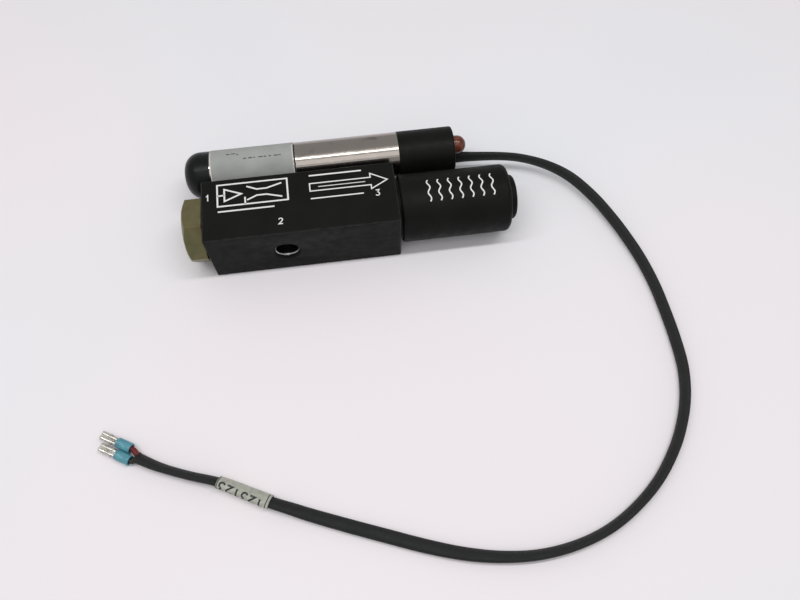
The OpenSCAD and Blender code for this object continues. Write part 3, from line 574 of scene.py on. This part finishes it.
# how far a point is from the nearest edge: the middle one of its distances from the three pairs
# of faces
less = arithmetic(tree, "MINIMUM", depths[0], depths[1])
more = arithmetic(tree, "MAXIMUM", depths[0], depths[1])
from_edge = arithmetic(tree, "MAXIMUM", less, arithmetic(tree, "MINIMUM", more, depths[2]))
uneven = arithmetic(tree, "MULTIPLY", grain(tree, 700, detail=4), 0.0009)
wear = shift(tree, arithmetic(tree, "SUBTRACT", from_edge, uneven), None, -0.0001, edge_worn, 1, 0)
laid_over(tree, shader, tone, (0.022, 0.023, 0.022), wear)
smoothed("pump_body", "pump_block", body_black, bevel=edge_round)


# ---------- thread of the vacuum port ----------
# The tapped thread in the front face, cut after the anodising so it is bare metal. Painted shade
# darkens it further in and higher up, so only a lit ring of bare metal shows at the bottom of the mouth.
port_x = middle_of("sensing_nipple")[0]
port_crest, port_root, port_wall, pitch = 0.00405, 0.00428, 0.0044, 0.00094
thread_front, thread_back, thread_sides = 0.00095, 0.0070, 72
# depths at the bottom of the port between which the painted shade fades in, and how much nearer the mouth it
# starts half way up
painted_shade_from, painted_shade_to, painted_shade_lift = 0.00138, 0.00155, 0.0005

thread_metal_painted_shade, tree, shader = finish("thread_metal_painted_shade", (0.80, 0.81, 0.82), 0.28, Metallic=1.0)
bare = mottle(tree, shader, grain(tree, 2500), (0.62, 0.63, 0.64), (0.85, 0.86, 0.87))
# painted shade: the lit ring of bare metal is widest at the bottom of the port and runs out half
# way up; deeper in and higher up, the thread is painted dark
place = place_of(tree)
height = shift(tree, place[2], None, float(axis_z) - port_root, float(axis_z), 0, painted_shade_lift)
deep = shift(tree, arithmetic(tree, "ADD", place[1], height), None,
             float(body_low[1]) + painted_shade_from, float(body_low[1]) + painted_shade_to, 0, 1)
laid_over(tree, shader, bare, (0.008, 0.008, 0.007), deep)
relief(tree, shader, grain(tree, 2500), 0.00001)


def threaded(profile, sides, crest, root, first, last):
    """Radii of a profile with a thread cut between first and last: the radius rises and falls
    evenly once in each pitch, stays on the crest for a third of it, and moves on by one pitch in
    each turn."""
    far, turn = profile[:, :1], np.arange(sides) / sides
    phase = np.mod(far / pitch - turn, 1.0)
    groove = root + (crest - root) * np.clip(np.abs(2 * phase - 1) * 1.5, 0, 1)
    cut = (far > first) & (far < last) & (np.abs(profile[:, 1:2] - root) < 1e-6)
    return np.where(cut, groove, profile[:, 1:2])


tap = refine(rounded([(thread_front, port_wall, 0), (thread_back, port_wall, 0),
                      (thread_back, port_root, 0), (thread_front, port_root, 0)]), 0.0001)
turns = threaded(tap, thread_sides, port_crest, port_root, thread_front + 0.00002, thread_back - 0.0001)
rings = turned(tap, (port_x, body_low[1], axis_z), (0, 1, 0), thread_sides, radius=turns)
tap_thread = skin("port_thread", [rings], "loop", 60)
tap_thread.data.materials.append(thread_metal_painted_shade)
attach(tap_thread, "root")


# ---------- print on the body ----------
# White silk-screened marks on the top face: the sign for an ejector, rules, a plain arrow that
# shows which way the air flows, and the ports' numbers: 1 inlet, 2 vacuum, 3 exhaust.
ink, tree, shader = finish("white_ink", (0.80, 0.80, 0.79), 0.6)
tint(tree, grain(tree, 3500, detail=2), shader.inputs["Base Color"],
     (0.28, (0.30, 0.30, 0.30)), (0.42, (0.82, 0.82, 0.81)))
wide_stroke, rule_stroke, arrow_stroke, fine_stroke = 0.0006, 0.0005, 0.00045, 0.0003
digit_high, digit_stroke = 0.0024, 0.0004


def on_top(u, v, height):
    """u and v run along X and Y over the body's top face."""
    return np.stack([u, v, body_high[2] + height], axis=-1)


def chain(*points):
    """Points in millimetres as a line in metres."""
    return np.array(points, float) / 1000


marks = []
# the ejector's sign: a frame, the nozzle, both walls of the diffuser, the supply line from the
# left and the suction line from below
for line, closed in (
    (chain((-29, 1.2), (-4, 1.2), (-4, 10.2), (-29, 10.2)), True),
    (chain((-26.5, 8.2), (-20.5, 5.7), (-26.5, 3.2)), True),
    (chain((-18.5, 8.6), (-15, 7.0), (-11.5, 7.0), (-6, 8.6)), False),
    (chain((-18.5, 2.8), (-15, 4.4), (-11.5, 4.4), (-6, 2.8)), False),
    (chain((-29, 5.7), (-26.5, 5.7)), False),
    (chain((-19.2, 1.2), (-19.2, 4.2)), False),
):
    marks.append((line, wide_stroke, closed))
# the flow arrow with a fine rule in it, a plain rule over and under it, and one under the sign
arrow = chain((4, 3.6), (26, 3.6), (26, 1.9), (32, 5.2), (26, 8.5), (26, 6.8), (4, 6.8))
marks += [(arrow, arrow_stroke, True), (chain((7, 5.2), (24, 5.2)), fine_stroke, False),
          (chain((4, 10.2), (23, 10.2)), wide_stroke, False),
          (chain((4, 0.4), (23, 0.4)), rule_stroke, False),
          (chain((-29, -1.0), (-9, -1.0)), wide_stroke, False)]
for digit, at in ((1, (-33.2, 4.0)), (2, (port_x * 1000 - 1, -8.6)), (3, (27.2, -1.2))):
    marks += [(line, digit_stroke, False) for line in numeral(digit, np.array(at) / 1000, digit_high)]
for name, closed, ends in (("body_print", False, "flat"), ("body_print_frames", True, "loop")):
    strokes = [ribbon(line, width, on_top, closed=closed) for line, width, ring in marks if ring == closed]
    piece = skin(name, strokes, ends)
    piece.data.materials.append(ink)
    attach(piece, "root")


# ---------- inlet fitting ----------
# Turned from hexagon bar and plated yellow: the hex's outer end is bevelled, a washer face
# bears on the body, and the air port is tapped into its outer end.
fitting_low, fitting_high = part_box("inlet_fitting")
hex_front, hex_seat, shank_end = fitting_low[0], fitting_low[0] + 0.0076, fitting_high[0]
hex_corner, slant = math.radians(55), math.radians(30)
# radii of the hex's flats and of each turned step, how deep the steps go, and how much is off
# the hex's corners
hex_flat, corner_off, washer, washer_deep = 0.011, 0.00006, 0.01034, 0.0005
shank, nozzle_seat, nozzle_deep, passage = 0.00695, 0.00405, 0.005, 0.0028
air_tap, air_crest, air_tap_deep, countersink, countersink_deep = 0.0043, 0.00405, 0.008, 0.00545, 0.0012

plated, tree, shader = finish("yellow_chromate", (0.15, 0.14, 0.072), 0.38, Metallic=0.8)
tint(tree, grain(tree, 130, detail=4), shader.inputs["Base Color"],
     (0.25, (0.12, 0.13, 0.062)), (0.5, (0.20, 0.182, 0.09)), (0.75, (0.175, 0.138, 0.07)))
gloss(tree, shader, grain(tree, 700), 0.28, 0.46)
relief(tree, shader, grain(tree, 1, (1800, 60, 60)), 0.000012)

hex_tip = hex_flat / math.cos(slant)
bevel_end = hex_front + (hex_tip - washer) * math.tan(slant)
hex_back = hex_seat - washer_deep
profile = refine(rounded([
    (hex_front, countersink, 0.0001), (hex_front, washer, 0.00008), (bevel_end, hex_tip, 0.0002),
    (hex_back, hex_tip, 0.0002), (hex_back, washer, 0), (hex_seat, washer, 0.00008),
    (hex_seat, shank, 0), (shank_end, shank, 0.0004), (shank_end, nozzle_seat, 0),
    (shank_end - nozzle_deep, nozzle_seat, 0), (shank_end - nozzle_deep, passage, 0),
    (hex_front + air_tap_deep, passage, 0), (hex_front + air_tap_deep, air_tap, 0),
    (hex_front + countersink_deep, air_tap, 0),
]), 0.00012)
# the reach to a flat is its distance from the axis over the cosine of the angle from its middle
sides = 144
angle = hex_corner + np.arange(sides) * 2 * np.pi / sides
to_flat = hex_flat / np.cos(np.mod(angle - hex_corner, 2 * slant) - slant)
radius = threaded(profile, sides, air_crest, air_tap,
                  hex_front + countersink_deep + 0.0001, hex_front + air_tap_deep - 0.0002)
outside = (profile[:, 1:2] > washer - 1e-6) & (profile[:, :1] < hex_back + 0.00001)
radius = np.where(outside, np.minimum(np.minimum(radius, to_flat), hex_tip - corner_off), radius)
rings = turned(profile, (0, 0, axis_z), sides=sides, first=hex_corner, radius=radius)
fitting = skin("hex_fitting", [rings], "loop", 25)
fitting.data.materials.append(plated)
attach(fitting, "root")
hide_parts("inlet_fitting")


# ---------- nozzle, diffuser and seals ----------
# The parts in the bore: a turned brass nozzle seated in the inlet fitting, a machined acetal
# venturi tube that the silencer's neck holds, and their moulded rubber rings.
brass, tree, shader = finish("turned_brass", (0.62, 0.45, 0.18), 0.25, Metallic=1.0)
mottle(tree, shader, grain(tree, 1, (2500, 80, 80)), (0.50, 0.35, 0.13), (0.68, 0.50, 0.22))
acetal, tree, shader = finish("natural_acetal", (0.72, 0.71, 0.66), 0.4)
mottle(tree, shader, grain(tree, 300), (0.66, 0.65, 0.59), (0.76, 0.75, 0.71))
rubber, tree, shader = finish("nitrile_rubber", (0.012, 0.012, 0.012), 0.6, Specular_IOR_Level=0.3)
mottle(tree, shader, grain(tree, 600), (0.009, 0.009, 0.009), (0.020, 0.020, 0.020))
relief(tree, shader, grain(tree, 3000), 0.00001)


def coat(node, material):
    """Gives a CAD node that stays as it is its material."""
    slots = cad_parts[node].data.materials
    slots.clear()
    slots.append(material)


coat("air_nozzle", brass)
coat("diffuser", acetal)
for node in ("inlet_o_ring", "nozzle_o_ring", "diffuser_o_rings"):
    coat(node, rubber)


# ---------- silencer ----------
# A black anodised tube between the neck, which screws into the body, and the end cap that it
# holds with its turned-in end. Air passes a perforated steel tube in a felt liner.
neck_low, neck_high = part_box("silencer_neck")
shell_low, shell_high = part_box("silencer_shell")
cap_low, cap_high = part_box("silencer_end_cap")
mouth_x, shell_end = body_high[0], shell_high[0]
shell_radius = (shell_high[2] - shell_low[2]) / 2
# radii of the neck's thread and collar, the shell's bore and lip, the plugs in its ends, the
# cap's stub and flare, the exhaust passage and the core tube's seats, and the steps' depths
neck_thread, collar, shell_bore, shell_lip, plug = 0.00795, 0.0113, 0.01095, 0.00835, 0.0109
stub, flare, exhaust, core_seat = 0.0083, 0.0057, 0.0042, 0.00505
lip_deep, seat_deep, flare_deep = 0.003, 0.002, 0.0015

turned_black = anodised("anodised_turned", (1600, 25, 25), 0.000012)[0]
neck = rounded([
    (neck_low[0], neck_thread, 0.0003), (mouth_x, neck_thread, 0), (mouth_x, collar, 0.0002),
    (shell_low[0], collar, 0.0002), (shell_low[0], plug, 0), (neck_high[0], plug, 0.0002),
    (neck_high[0], core_seat, 0), (neck_high[0] - seat_deep, core_seat, 0),
    (neck_high[0] - seat_deep, exhaust, 0), (neck_low[0], exhaust, 0),
])
shell = rounded([
    (shell_low[0], shell_radius, 0.001), (shell_end, shell_radius, 0.002), (shell_end, shell_lip, 0.0002),
    (shell_end - lip_deep, shell_lip, 0), (shell_end - lip_deep, shell_bore, 0),
    (shell_low[0], shell_bore, 0.0001),
])
end_cap = rounded([
    (cap_low[0], plug, 0.0002), (cap_low[0] + lip_deep, plug, 0), (cap_low[0] + lip_deep, stub, 0),
    (cap_high[0], stub, 0.0012), (cap_high[0], flare, 0.0002), (cap_high[0] - flare_deep, exhaust, 0.0002),
    (cap_low[0] + seat_deep, exhaust, 0), (cap_low[0] + seat_deep, core_seat, 0), (cap_low[0], core_seat, 0),
])
for name, node, profile in (("neck_collar", "silencer_neck", neck),
                            ("silencer_tube", "silencer_shell", shell),
                            ("exhaust_cap", "silencer_end_cap", end_cap)):
    piece = skin(name, [turned(profile, (0, 0, axis_z), sides=160)], "loop")
    piece.data.materials.append(turned_black)
    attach(piece, "root")
    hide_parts(node)

perforated, tree, shader = finish("perforated_steel", (0.36, 0.36, 0.37), 0.4, Metallic=1.0)
mottle(tree, shader, grain(tree, 500), (0.25, 0.25, 0.26), (0.42, 0.42, 0.43))
smoothed("silencer_core", "core_tube", perforated)
felt, tree, shader = finish("liner_felt", (0.45, 0.42, 0.34), 0.95)
tint(tree, grain(tree, 1500, detail=6), shader.inputs["Base Color"],
     (0.35, (0.34, 0.31, 0.24)), (0.65, (0.52, 0.49, 0.41)))
relief(tree, shader, grain(tree, 2500, detail=5), 0.0001)
coat("silencer_liner", felt)


def on_shell(u, v, height):
    """u runs along X and v round the shell from its top line towards +Y."""
    reach, angle = shell_radius + height, v / shell_radius
    return np.stack([u, reach * np.sin(angle), axis_z + reach * np.cos(angle)], axis=-1)


# seven printed waves stand across the shell's top: two periods of a sine in each
first_wave, wave_step, wave_swing, wave_stroke = shell_low[0] + 0.0105, 0.00385, 0.00045, 0.0005
v = np.linspace(-0.0055, 0.0033, 40)
wave = wave_swing * np.sin((v - v[0]) / (v[-1] - v[0]) * 2 * np.pi * 2)
lines = [np.column_stack([first_wave + wave_step * i + wave, v]) for i in range(7)]
waves = skin("silencer_print", [ribbon(line, wave_stroke, on_shell) for line in lines])
waves.data.materials.append(ink)
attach(waves, "root")


# ---------- saddle gasket and sensing nipple ----------
# A moulded rubber saddle between the body and the switch, round the nickel plated nipple that
# leads the vacuum into the switch and holds it.
smoothed("saddle_gasket", "rubber_saddle", rubber, bevel=0.0002)
nickel, tree, shader = finish("nickel_plating", (0.60, 0.57, 0.52), 0.25, Metallic=1.0)
mottle(tree, shader, grain(tree, 700), (0.50, 0.47, 0.42), (0.66, 0.63, 0.58))
coat("sensing_nipple", nickel)


# ---------- switch front cap ----------
# A black plastic moulding that closes the front of the switch: a dome with a small flat, on a
# spigot pushed into the steel sleeve.
front_low, front_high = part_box("switch_front_cap")
sleeve_low, sleeve_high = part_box("switch_sleeve")
switch_y = (sleeve_low[1] + sleeve_high[1]) / 2
switch_z = (sleeve_low[2] + sleeve_high[2]) / 2
switch_radius = (sleeve_high[2] - sleeve_low[2]) / 2
spigot, hollow, shoulder, dome_thick = 0.0080, 0.0068, 0.0064, 0.00685

moulded, tree, shader = finish("moulded_black", (0.0055, 0.0070, 0.0065), 0.3, Specular_IOR_Level=0.18)
mottle(tree, shader, grain(tree, 120), (0.0045, 0.0058, 0.0055), (0.0075, 0.0095, 0.009))
gloss(tree, shader, grain(tree, 400, detail=5), 0.25, 0.42)
relief(tree, shader, grain(tree, 250), 0.00004)
relief(tree, shader, grain(tree, 4000), 0.000005)
dome = rounded([
    (front_low[0], 0, 0), (front_low[0], switch_radius, shoulder), (sleeve_low[0], switch_radius, 0.0001),
    (sleeve_low[0], spigot, 0), (front_high[0], spigot, 0.0002), (front_high[0], hollow, 0),
    (front_low[0] + dome_thick, hollow, 0), (front_low[0] + dome_thick, 0, 0),
], closed=False, steps=24)
front_cap = skin("front_dome", [turned(dome, (0, switch_y, switch_z), sides=128)], "poles")
front_cap.data.materials.append(moulded)
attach(front_cap, "root")
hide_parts("switch_front_cap")


# ---------- steel sleeve ----------
# A thin stainless tube, ground all the way round, then rubbed and stained by handling. It is
# pushed over the spigots of the front cap and of the rear housing.
steel, tree, shader = finish("ground_stainless", (0.40, 0.365, 0.33), 0.2, Metallic=1.0)
fine = grain(tree, 1, (2200, 60, 60), detail=2)
tint(tree, grain(tree, 120, (0.6, 1, 1), detail=6), shader.inputs["Base Color"],
     (0.26, (0.22, 0.195, 0.17)), (0.36, (0.385, 0.35, 0.315)), (0.55, (0.40, 0.365, 0.33)),
     (0.75, (0.48, 0.44, 0.40)))
gloss(tree, shader, fine, 0.12, 0.20)
relief(tree, shader, fine, 0.00002)
relief(tree, shader, grain(tree, 1200, detail=3), 0.000006)
smoothed("switch_sleeve", "steel_sleeve", steel)


# ---------- label ----------
# A grey foil wrapped round the sleeve, with its seam underneath and an opening round the
# saddle. The print has worn off but for short rules and dashes, and thin white lines run along its ends.
label_low, label_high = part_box("switch_label")
gasket_low, gasket_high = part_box("saddle_gasket")
seam, window_gap, foil_thick, foil_gap = math.radians(20), 0.0005, 0.00011, 0.00001

foil, tree, shader = finish("label_foil", (0.36, 0.37, 0.352), 0.7, Specular_IOR_Level=0.2)
tint(tree, grain(tree, 90, detail=6), shader.inputs["Base Color"],
     (0.3, (0.31, 0.32, 0.31)), (0.5, (0.36, 0.37, 0.352)), (0.7, (0.40, 0.41, 0.39)))
relief(tree, shader, grain(tree, 60, (0.5, 2, 2)), 0.00012)
relief(tree, shader, grain(tree, 3000), 0.000008)
# a grid of places along and round the sleeve, with lines at the opening's sides
window_x = np.array([gasket_low[0] - window_gap, gasket_high[0] + window_gap])
window_z = math.asin(min(0.99, ((gasket_high[2] - gasket_low[2]) / 2 + window_gap) / switch_radius))
places = np.union1d(np.linspace(label_low[0], label_high[0], 60), window_x)
places = places[(places >= label_low[0] - 1e-9) & (places <= label_high[0] + 1e-9)]
angle = np.linspace(-np.pi / 2 + seam, 1.5 * np.pi - seam, 90)
angle = np.union1d(angle, [np.pi - window_z, np.pi + window_z])
x, a = np.meshgrid(places, angle, indexing="ij")
reach = switch_radius + foil_gap
points = np.stack([x, switch_y + reach * np.cos(a), switch_z + reach * np.sin(a)], axis=-1)
index = np.arange(x.size).reshape(x.shape)
quads = np.stack([index[:-1, :-1], index[:-1, 1:], index[1:, 1:], index[1:, :-1]], axis=-1)
middle_x, middle_a = (x[:-1, :-1] + x[1:, 1:]) / 2, (a[:-1, :-1] + a[1:, 1:]) / 2
opening = (middle_x > window_x[0]) & (middle_x < window_x[1]) & (np.abs(middle_a - np.pi) < window_z)
used, quads = np.unique(quads[~opening], return_inverse=True)
mesh = bpy.data.meshes.new("foil_label")
mesh.from_pydata(points.reshape(-1, 3)[used].tolist(), [], quads.reshape(-1, 4).tolist())
mesh.shade_smooth()
mesh.materials.append(foil)
label = put("foil_label", mesh)
sheet = label.modifiers.new("foil", "SOLIDIFY")
sheet.thickness, sheet.offset = foil_thick, 1.0
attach(label, "root")
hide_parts("switch_label")


def on_label(u, v, height):
    """u runs along X and v round the label from its top line towards -Y."""
    reach, angle = switch_radius + foil_thick + foil_gap + height, v / switch_radius
    return np.stack([u, switch_y - reach * np.sin(angle), switch_z + reach * np.cos(angle)], axis=-1)


# what is left of the print, three short rules and a row of dashes, each as its place along the
# label, its length and its row in millimetres; and the thin white lines along the label's ends
print_stroke, end_line_stroke, end_line_inset = 0.00038, 0.00024, 0.00013
# width, offset from the label's end and wander of the painted shadow line on the steel
painted_shadow_stroke, painted_shadow_off, painted_shadow_swing = 0.0006, 0.00035, 0.0001
rules = [(6.2, 1.3, -2.0), (8.0, 1.6, -2.1), (10.0, 0.7, -1.5)]
rules += [(12.5 + 1.9 * i, 1.1 + 0.5 * math.sin(2.4 * i), 0.6) for i in range(8)]
worn = [((label_low[0] + at / 1000, row / 1000), (label_low[0] + (at + long) / 1000, row / 1000))
        for at, long, row in rules]
label_print = skin("label_print", [ribbon(line, print_stroke, on_label) for line in worn])
label_print.data.materials.append(print_black)
around = np.linspace(-0.0045, 0.0118, 60)
end_line_places = label_low[0] + end_line_inset, label_high[0] - end_line_inset
lines = [np.column_stack([around * 0 + u, around]) for u in end_line_places]
end_lines = skin("label_end_lines", [ribbon(line, end_line_stroke, on_label) for line in lines])
end_lines.data.materials.append(ink)


def on_steel(u, v, height):
    """The same, about a foil's thickness lower, for marks beside the label."""
    return on_label(u, v, height - 0.0001)


# painted shadow: a dark line on the steel just beyond the label's end, where the lifted edge casts
# its shade; it wanders a little along the end
painted_shadow_path = np.column_stack([label_high[0] + painted_shadow_off + painted_shadow_swing * np.sin(around * 3000), around])
painted_shadow_piece = skin("label_painted_edge_shadow", [ribbon(painted_shadow_path, painted_shadow_stroke, on_steel)])
painted_shadow_piece.data.materials.append(print_black)
for piece in (label_print, end_lines, painted_shadow_piece):
    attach(piece, "root")


# ---------- switch rear housing ----------
# The black plastic moulding at the back of the switch, on a spigot in the steel sleeve. Its
# open end is filled with epoxy round the lamp and the cable's grommet.
rear_low, rear_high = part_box("switch_rear_housing")
potting_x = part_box("potting_plug")[0][0]
rear_radius = (rear_high[2] - rear_low[2]) / 2
potting_bore = 0.00775

housing_black, tree, shader = finish("housing_black", (0.0055, 0.0055, 0.0050), 0.45, Specular_IOR_Level=0.1)
mottle(tree, shader, grain(tree, 150), (0.0055, 0.0055, 0.0048), (0.0085, 0.0085, 0.0075))
gloss(tree, shader, grain(tree, 500, detail=5), 0.38, 0.55)
relief(tree, shader, grain(tree, 4000), 0.000006)
housing = rounded([
    (rear_low[0], spigot, 0.0002), (sleeve_high[0], spigot, 0), (sleeve_high[0], rear_radius, 0.0001),
    (rear_high[0], rear_radius, 0.0008), (rear_high[0], potting_bore, 0.0001),
    (potting_x, potting_bore, 0), (potting_x, hollow, 0), (rear_low[0], hollow, 0),
])
rear = skin("rear_housing", [turned(housing, (0, switch_y, switch_z), sides=128)], "loop")
rear.data.materials.append(housing_black)
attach(rear, "root")
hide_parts("switch_rear_housing")

epoxy, tree, shader = finish("potting_epoxy", (0.012, 0.012, 0.012), 0.25)
gloss(tree, shader, grain(tree, 400), 0.15, 0.4)
relief(tree, shader, grain(tree, 400), 0.00006)
coat("potting_plug", epoxy)
smoothed("cable_grommet", "rubber_grommet", rubber, bevel=0.0002)


# ---------- sensor ----------
# Closed up inside the steel sleeve: the moulded carrier, the pressure sensor seated on it, and
# the circuit board, a laminate with green lacquer.
for node, colour, rough, scale in (("sensor_carrier", (0.04, 0.042, 0.045), 0.5, 500),
                                   ("pressure_sensor", (0.66, 0.66, 0.62), 0.45, 900),
                                   ("circuit_board", (0.02, 0.13, 0.05), 0.35, 700)):
    material, tree, shader = finish(node + "_finish", colour, rough)
    darker = tuple(c * 0.8 for c in colour)
    mottle(tree, shader, grain(tree, scale), darker, colour)
    coat(node, material)


# ---------- status lamp ----------
# A moulded amber lens over the light in the switch's end. Its head is a dome, and its narrower
# stem is set in the potting.
lamp_low, lamp_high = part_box("status_lamp")
lamp_radius = (lamp_high[2] - lamp_low[2]) / 2
lamp_z = (lamp_low[2] + lamp_high[2]) / 2
stem, stem_end = lamp_radius - 0.0004, lamp_low[0] + 0.0009

amber, tree, shader = finish("amber_lens", (0.19, 0.050, 0.028), 0.06, Transmission_Weight=0.25, IOR=1.45)
mottle(tree, shader, grain(tree, 350), (0.11, 0.026, 0.014), (0.27, 0.075, 0.042))
lens = rounded([
    (lamp_low[0], 0, 0), (lamp_low[0], stem, 0), (stem_end, stem, 0), (stem_end, lamp_radius, 0),
    (lamp_high[0], lamp_radius, lamp_radius * 0.999), (lamp_high[0], 0, 0),
], closed=False, steps=24)
lamp = skin("lamp_lens", [turned(lens, (0, switch_y, lamp_z), sides=64)], "poles")
lamp.data.materials.append(amber)
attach(lamp, "root")
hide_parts("status_lamp")


# ---------- bench and light ----------
# A sheet of pale paper under an even room light, with one long, narrow ceiling light overhead
# and a wide, weaker one in front.
bench_half, bench_z = 3.0, -0.0001

paper, tree, shader = finish("bench_paper", (0.88, 0.86, 0.88), 0.9, Specular_IOR_Level=0.1)
tint(tree, grain(tree, 5, detail=1), shader.inputs["Base Color"],
     (0.35, (0.855, 0.865, 0.895)), (0.6, (0.90, 0.855, 0.88)))
sheet_mesh = bpy.data.meshes.new("bench")
corners = [(x * bench_half, y * bench_half, bench_z) for x, y in ((-1, -1), (1, -1), (1, 1), (-1, 1))]
sheet_mesh.from_pydata(corners, [], [(0, 1, 2, 3)])
sheet_mesh.materials.append(paper)
bench = put("bench", sheet_mesh)

world = bpy.data.worlds.new("room")
bpy.context.scene.world = world
world.use_nodes = True
room = world.node_tree
room.nodes["Background"].inputs["Color"].default_value = (1.0, 0.99, 1.0, 1)
room.nodes["Background"].inputs["Strength"].default_value = 0.45

for name, across, deep, power, place in (("ceiling_light", 1.2, 0.055, 3.1, (-0.02, -0.006, 0.75)),
                                         ("front_light", 0.7, 0.55, 1.05, (0.02, -0.37, 0.68))):
    light = put(name, bpy.data.lights.new(name, "AREA"))
    light.data.shape, light.data.energy = "RECTANGLE", power
    light.data.size, light.data.size_y = across, deep
    light.location = place
    light.rotation_euler = (math.atan2(place[1], place[2]), 0, 0)
